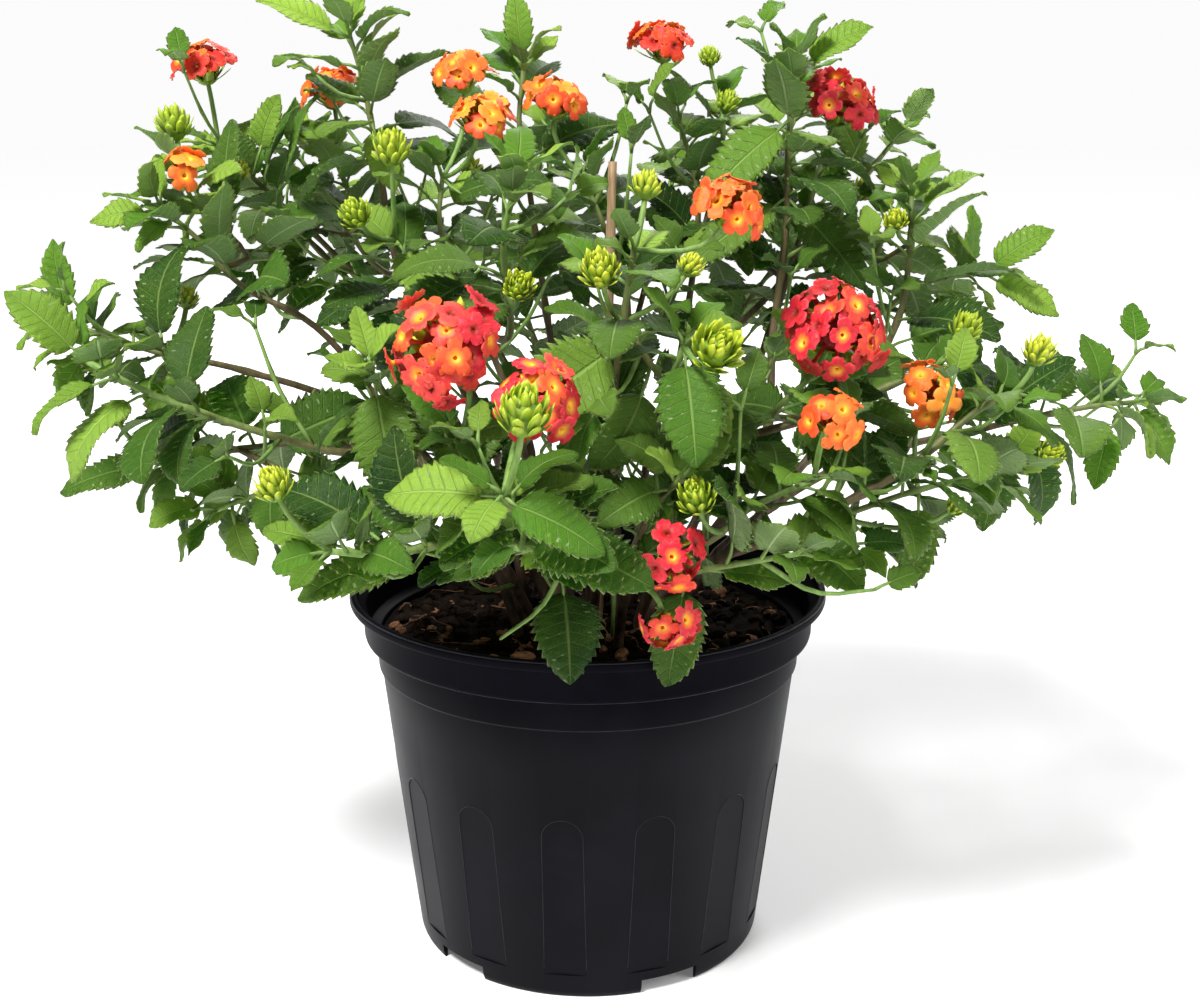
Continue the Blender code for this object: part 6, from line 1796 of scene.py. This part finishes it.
def fine_pot(material):
    """The pot turned finely, with rolled and eased corners, sunk panels, notches and drain slots."""
    mesh = bpy.data.meshes.new("pot_turned")
    profile = eased_profile(pot_profile())
    mesh.from_pydata([(r, 0.0, z) for r, z in profile], [(i, i + 1) for i in range(len(profile) - 1)], [])
    pot = stand("nursery_pot", mesh)
    mesh.materials.append(material)
    screw = pot.modifiers.new("turn", "SCREW")
    screw.steps = POT_FINE_STEPS
    screw.render_steps = POT_FINE_STEPS
    screw.use_merge_vertices = True
    screw.merge_threshold = 0.00001
    tools = bpy.data.collections.new("pot_cutters")
    bpy.context.scene.collection.children.link(tools)
    for i in range(PANEL_COUNT):
        tools.objects.link(arch_cutter(i))
    for i in range(NOTCH_COUNT):
        turn = Matrix.Rotation(NOTCH_TURN + 2 * math.pi * i / NOTCH_COUNT, 4, "Z")
        tools.objects.link(box_cutter(f"notch_{i}", (NOTCH_WIDTH, 0.012, 2 * NOTCH_HEIGHT),
                                      turn @ Matrix.Translation((0, -FOOT_RADIUS, 0))))
        tools.objects.link(box_cutter(f"drain_{i}", (0.014, 0.007, 0.008),
                                      turn @ Matrix.Translation((0, -0.056, FLOOR_UNDERSIDE + 0.001))))
    cut = pot.modifiers.new("cut", "BOOLEAN")
    cut.operation = "DIFFERENCE"
    cut.operand_type = "COLLECTION"
    cut.collection = tools
    cut.solver = "EXACT"
    graph = bpy.context.evaluated_depsgraph_get()
    baked = bpy.data.meshes.new_from_object(pot.evaluated_get(graph))
    pot.modifiers.clear()
    pot.data = baked
    for tool in list(tools.objects):
        bpy.data.objects.remove(tool, do_unlink=True)
    bpy.data.collections.remove(tools)
    pot.data.shade_smooth()
    pot.data.set_sharp_from_angle(angle=math.radians(28))
    return pot


def add_ring(shape, radius, height, thickness, sides=6):
    """A fine round ring about the pot's axis, carrying a painted highlight."""
    points, faces = [], []
    for i, turn in enumerate(around(POT_FINE_STEPS)):
        for k, angle in enumerate(around(sides)):
            reach = radius + thickness * math.cos(angle)
            rise = height + thickness * math.sin(angle)
            points.append((reach * math.cos(turn), reach * math.sin(turn), rise))
            a, b = i * sides + k, i * sides + (k + 1) % sides
            ahead = sides * ((i + 1) % POT_FINE_STEPS - i)
            faces.append((a, a + ahead, b + ahead, b))
    shape.add(points, faces, (0.5, 0.5, 0.5, 1.0))


def pot_mouldings(material):
    """The fine raised lines round the lip, skirt and step, and each arch, in a paler, shinier plastic: painted
    highlights where these edges catch the light.
    """
    shape = Shape()
    add_ring(shape, RIM_RADIUS - 0.0004, POT_HEIGHT - 0.0004, 0.00030)
    add_ring(shape, SKIRT_RADIUS - 0.0010, SKIRT_BOTTOM + 0.0002, 0.00022)
    add_ring(shape, STEP_RADIUS + 0.0008, STEP_HEIGHT + 0.0006, 0.00022)
    half = 0.5 * PANEL_WIDTH
    for i in range(PANEL_COUNT):
        turn = PANEL_TURN + 2 * math.pi * i / PANEL_COUNT
        outline = [(half * 1.05, 0.0125), (half * 1.02, 0.040)]
        for k in range(PANEL_ARC_STEPS + 1):
            angle = math.pi * k / PANEL_ARC_STEPS
            outline.append((half * math.cos(angle), PANEL_TOP - half + half * math.sin(angle)))
        outline += [(-half * 1.02, 0.040), (-half * 1.05, 0.0125)]
        path = []
        for across, height in outline:
            radius = FOOT_RADIUS + (STEP_RADIUS - FOOT_RADIUS) * height / STEP_HEIGHT + 0.00002
            angle = turn + across / radius
            path.append(Vector((radius * math.sin(angle), -radius * math.cos(angle), height)))
        add_tube(shape, path, [0.00014] * len(path), 6, (0.5, 0.5, 0.5, 1.0), 0)
    return shape.build("pot_mouldings", [material])


def eased_profile(profile):
    """The section with each corner cut twice into a small round."""
    for part in (0.00045, 0.00016):
        eased = [profile[0]]
        for before, here, after in zip(profile, profile[1:], profile[2:]):
            for other in (before, after):
                gap = math.hypot(other[0] - here[0], other[1] - here[1])
                share = min(part / gap, 0.30)
                eased.append((here[0] + (other[0] - here[0]) * share, here[1] + (other[1] - here[1]) * share))
        profile = eased + [profile[-1]]
    return profile


def fine_soil(material):
    """A crumbly disc over the soil's solid, down to its foot, with a plain underside."""
    edge = pot_inner_radius(SOIL_HEIGHT) - 0.0006
    rng = random.Random(3)
    rings = [(edge * n / SOIL_GRID_RINGS, None) for n in range(1, SOIL_GRID_RINGS + 1)] + soil_profile()
    points = [(0.0, 0.0, soil_height(0, 0))]
    for radius, height in rings:
        for angle in around(SOIL_GRID_SPOKES):
            x, y = radius * math.cos(angle), radius * math.sin(angle)
            z = height
            if height is None:
                crumb = math.sin(900 * x + 3 * math.sin(700 * y)) * math.sin(830 * y + 2 * math.sin(610 * x))
                z = soil_height(x, y) + CRUMB_RISE * crumb + rng.uniform(-CRUMB_GRIT, CRUMB_GRIT)
            points.append((x, y, z))
    points.append((0.0, 0.0, rings[-1][1]))
    faces = ring_faces(len(rings), SOIL_GRID_SPOKES, outward=False, start=1)
    last = len(points) - 1
    foot = last - SOIL_GRID_SPOKES
    for k in range(SOIL_GRID_SPOKES):
        j = (k + 1) % SOIL_GRID_SPOKES
        faces += [(0, 1 + k, 1 + j), (last, foot + j, foot + k)]
    shape = Shape()
    shape.add(points, faces, (0.5, 0.5, 0.5, 1.0))
    return shape.build("potting_soil", [material])


def scattered(edge, rng):
    """A random spot within a radius of the pot's axis."""
    radius = edge * math.sqrt(rng.random())
    angle = rng.uniform(0, 2 * math.pi)
    return radius * math.cos(angle), radius * math.sin(angle)


def soil_litter(material, bark):
    """Crumbs, bark flakes and rootlets strewn over the soil."""
    rng = random.Random(9)
    crumbs = Shape()
    edge = pot_inner_radius(SOIL_HEIGHT) - 0.004
    for n in range(CRUMB_COUNT):
        x, y = scattered(edge, rng)
        size = rng.uniform(0.0009, 0.0030) if n % 9 else rng.uniform(0.003, 0.0052)
        turn = Matrix.Rotation(rng.uniform(0, 6.28), 3, "Z") @ Matrix.Rotation(rng.uniform(-0.4, 0.4), 3, "X")
        flat = rng.uniform(0.35, 0.8)
        centre = Vector((x, y, soil_height(x, y) + 0.35 * flat * size))
        slot = 1 if n % 5 == 0 else 0
        add_ball(crumbs, centre, turn, (size, size * rng.uniform(0.5, 0.9), size * flat),
                 (rng.random(), 0.5, 0.5, 1.0), slot, 5, 7, 0.22, rng)
    litter = crumbs.build("soil_crumbs", [material, bark])
    litter.data.shade_flat()
    roots = Shape()
    for n in range(ROOTLET_COUNT):
        x, y = scattered(edge, rng)
        turn = rng.uniform(0, 2 * math.pi)
        path = []
        thick = rng.uniform(0.00018, 0.00042)
        for k in range(7):
            rise = 0.0012 + 0.0022 * math.sin(math.pi * k / 6) * rng.random()
            gap = math.hypot(x, y)
            if gap > edge:
                x, y = x * edge / gap, y * edge / gap
            path.append(Vector((x, y, soil_height(x, y) + rise)))
            turn += rng.uniform(-0.55, 0.55)
            x += 0.0034 * math.cos(turn)
            y += 0.0034 * math.sin(turn)
        add_tube(roots, path, [thick * (1 - 0.1 * k) for k in range(7)], 5, (0.5, 0.5, 0.5, 1.0), 0)
    return litter, roots.build("rootlets", [bark])


def fine_bark_chip(index, material):
    """A worn, layered bark chip over its solid."""
    (x, y), length, width, thick, turn = BARK_CHIPS[index]
    rng = random.Random(40 + index)
    shape = bmesh.new()
    bmesh.ops.create_icosphere(shape, subdivisions=1, radius=0.5)
    for vertex in shape.verts:
        vertex.co *= rng.uniform(0.82, 1.12)
    size = Matrix.Diagonal((length * CM, width * CM, thick * CM, 1.0))
    lean = Matrix.Rotation(math.radians(6), 4, "Y")
    place = Matrix.Rotation(math.radians(turn), 4, "Z") @ lean @ size
    bmesh.ops.transform(shape, matrix=place, verts=shape.verts)
    lowest = min(vertex.co.z for vertex in shape.verts)
    rise = SOIL_HEIGHT + CLEARANCE - lowest
    bmesh.ops.translate(shape, vec=(x * CM, y * CM, rise), verts=shape.verts)
    bmesh.ops.subdivide_edges(shape, edges=shape.edges[:], cuts=5, use_grid_fill=True, smooth=0.6)
    centre = Vector((x * CM, y * CM, rise + 0.5 * thick * CM))
    for vertex in shape.verts:
        step = math.sin(2600 * vertex.co.z + 260 * vertex.co.x)
        rough = math.sin(1500 * vertex.co.x) * math.sin(1700 * vertex.co.y + 900 * vertex.co.z)
        out = (vertex.co - centre)
        out.z *= 0.3
        vertex.co += out.normalized() * (0.00028 * step + 0.00025 * rough)
    mesh = bpy.data.meshes.new(f"bark_piece_{index + 1}")
    shape.to_mesh(mesh)
    shape.free()
    mesh.materials.append(material)
    mesh.shade_smooth()
    return stand(mesh.name, mesh)


def fine_cane(material):
    """The cut cane: slightly waved, with joints and a flat top."""
    foot = Vector((CANE_HOLE[0] * CM, CANE_HOLE[1] * CM, SOIL_HEIGHT - HOLE_DEPTH + 0.002))
    top = cm(CANE_TOP)
    shape = Shape()
    path, radii = [], []
    for k in range(31):
        t = k / 30
        path.append(foot.lerp(top, t) + Vector((0.0003 * math.sin(11 * t), 0.0003 * math.cos(9 * t), 0)))
        joint = 1.14 if k in (9, 18, 26) else 1.0
        radii.append(CANE_RADIUS * CM * (1.0 - 0.12 * t) * joint)
    add_tube(shape, path, radii, 12, (0.5, 0.5, 0.5, 1.0), 0)
    return shape.build("cut_cane", [material])


def studio():
    """A pale floor, a pale sky and soft lights, with the camera at the photograph's angle."""
    shape = bmesh.new()
    bmesh.ops.create_grid(shape, x_segments=1, y_segments=1, size=9.0)
    mesh = bpy.data.meshes.new("floor")
    shape.to_mesh(mesh)
    shape.free()
    floor = stand("floor", mesh)
    material, tree, shader = new_shader("pale_floor", 0.9)
    shader.inputs["Base Color"].default_value = (0.90, 0.90, 0.90, 1.0)
    shader.inputs["Emission Strength"].default_value = 1.0
    place = tree.nodes.new("ShaderNodeTexCoord")
    reach = tree.nodes.new("ShaderNodeVectorMath")
    reach.operation = "LENGTH"
    tree.links.new(place.outputs["Object"], reach.inputs[0])
    far = mix_colour(tree, ramp(tree, reach.outputs["Value"], 0.35, 1.8), (0.12, 0.12, 0.12),
                     (0.772, 0.772, 0.772))
    tree.links.new(far, shader.inputs["Emission Color"])
    mesh.materials.append(material)
    world = bpy.data.worlds.new("pale_sky")
    world.use_nodes = True
    sky = world.node_tree
    seen = sky.nodes.new("ShaderNodeLightPath")
    strength = math_node(sky, "MULTIPLY_ADD", seen.outputs["Is Camera Ray"], SKY_SEEN - SKY_LIGHT, SKY_LIGHT)
    sky.nodes["Background"].inputs["Color"].default_value = (1.0, 1.0, 1.0, 1.0)
    sky.links.new(strength, sky.nodes["Background"].inputs["Strength"])
    bpy.context.scene.world = world
    lights = (("key", (-0.6, -0.9, 1.6), 0.5, 54.0), ("fill", (1.4, -0.5, 0.9), 0.9, 11.0),
              ("back", (0.3, 1.4, 1.3), 1.0, 18.0))
    for name, spot, size, power in lights:
        lamp = bpy.data.lights.new(name, "AREA")
        lamp.shape = "DISK"
        lamp.size = size
        lamp.energy = power
        light = stand(name, lamp)
        light.location = spot
        aim = Vector((0, 0, 0.2)) - Vector(spot)
        light.rotation_euler = aim.to_track_quat("-Z", "Y").to_euler()
    camera = stand("camera", bpy.data.cameras.new("camera"))
    camera.data.lens = EYE_LENS
    camera.data.sensor_width = 36.0
    camera.location = EYE
    camera.rotation_euler = (EYE_TILT, 0.0, 0.0)
    bpy.context.scene.camera = camera
    bpy.context.scene.view_settings.view_transform = "Standard"


def place(piece, node, slot_name):
    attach(piece, "root")
    if node:
        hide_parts(node)


def main():
    studio()
    runs, heads, leaves = grow_plant()
    green = [leaf_material(vein_group()), stem_material(), bud_material()]
    for name in {**STEMS, **back_stems()}:
        place(fine_stem(name, runs, heads, leaves, green), f"stem_{name}", "leaf")
    petal = petal_material()
    for i, head in enumerate(heads):
        if head.florets:
            place(fine_flower(head, random.Random(60 + i), petal), head.name, head.colour)
    place(fine_pot(pot_material()), "pot", "pot")
    place(pot_mouldings(pot_highlight_material()), None, "pot")
    earth = soil_material()
    bark = bark_material()
    place(fine_soil(earth), "soil", "soil")
    crumbs, rootlets = soil_litter(earth, bark)
    place(crumbs, None, "soil")
    place(rootlets, None, "bark")
    for i in range(len(BARK_CHIPS)):
        place(fine_bark_chip(i, bark), f"bark_chip_{i + 1}", "bark")
    place(fine_cane(cane_material()), "cane", "cane")


main()
bpy.context.view_layer.update()
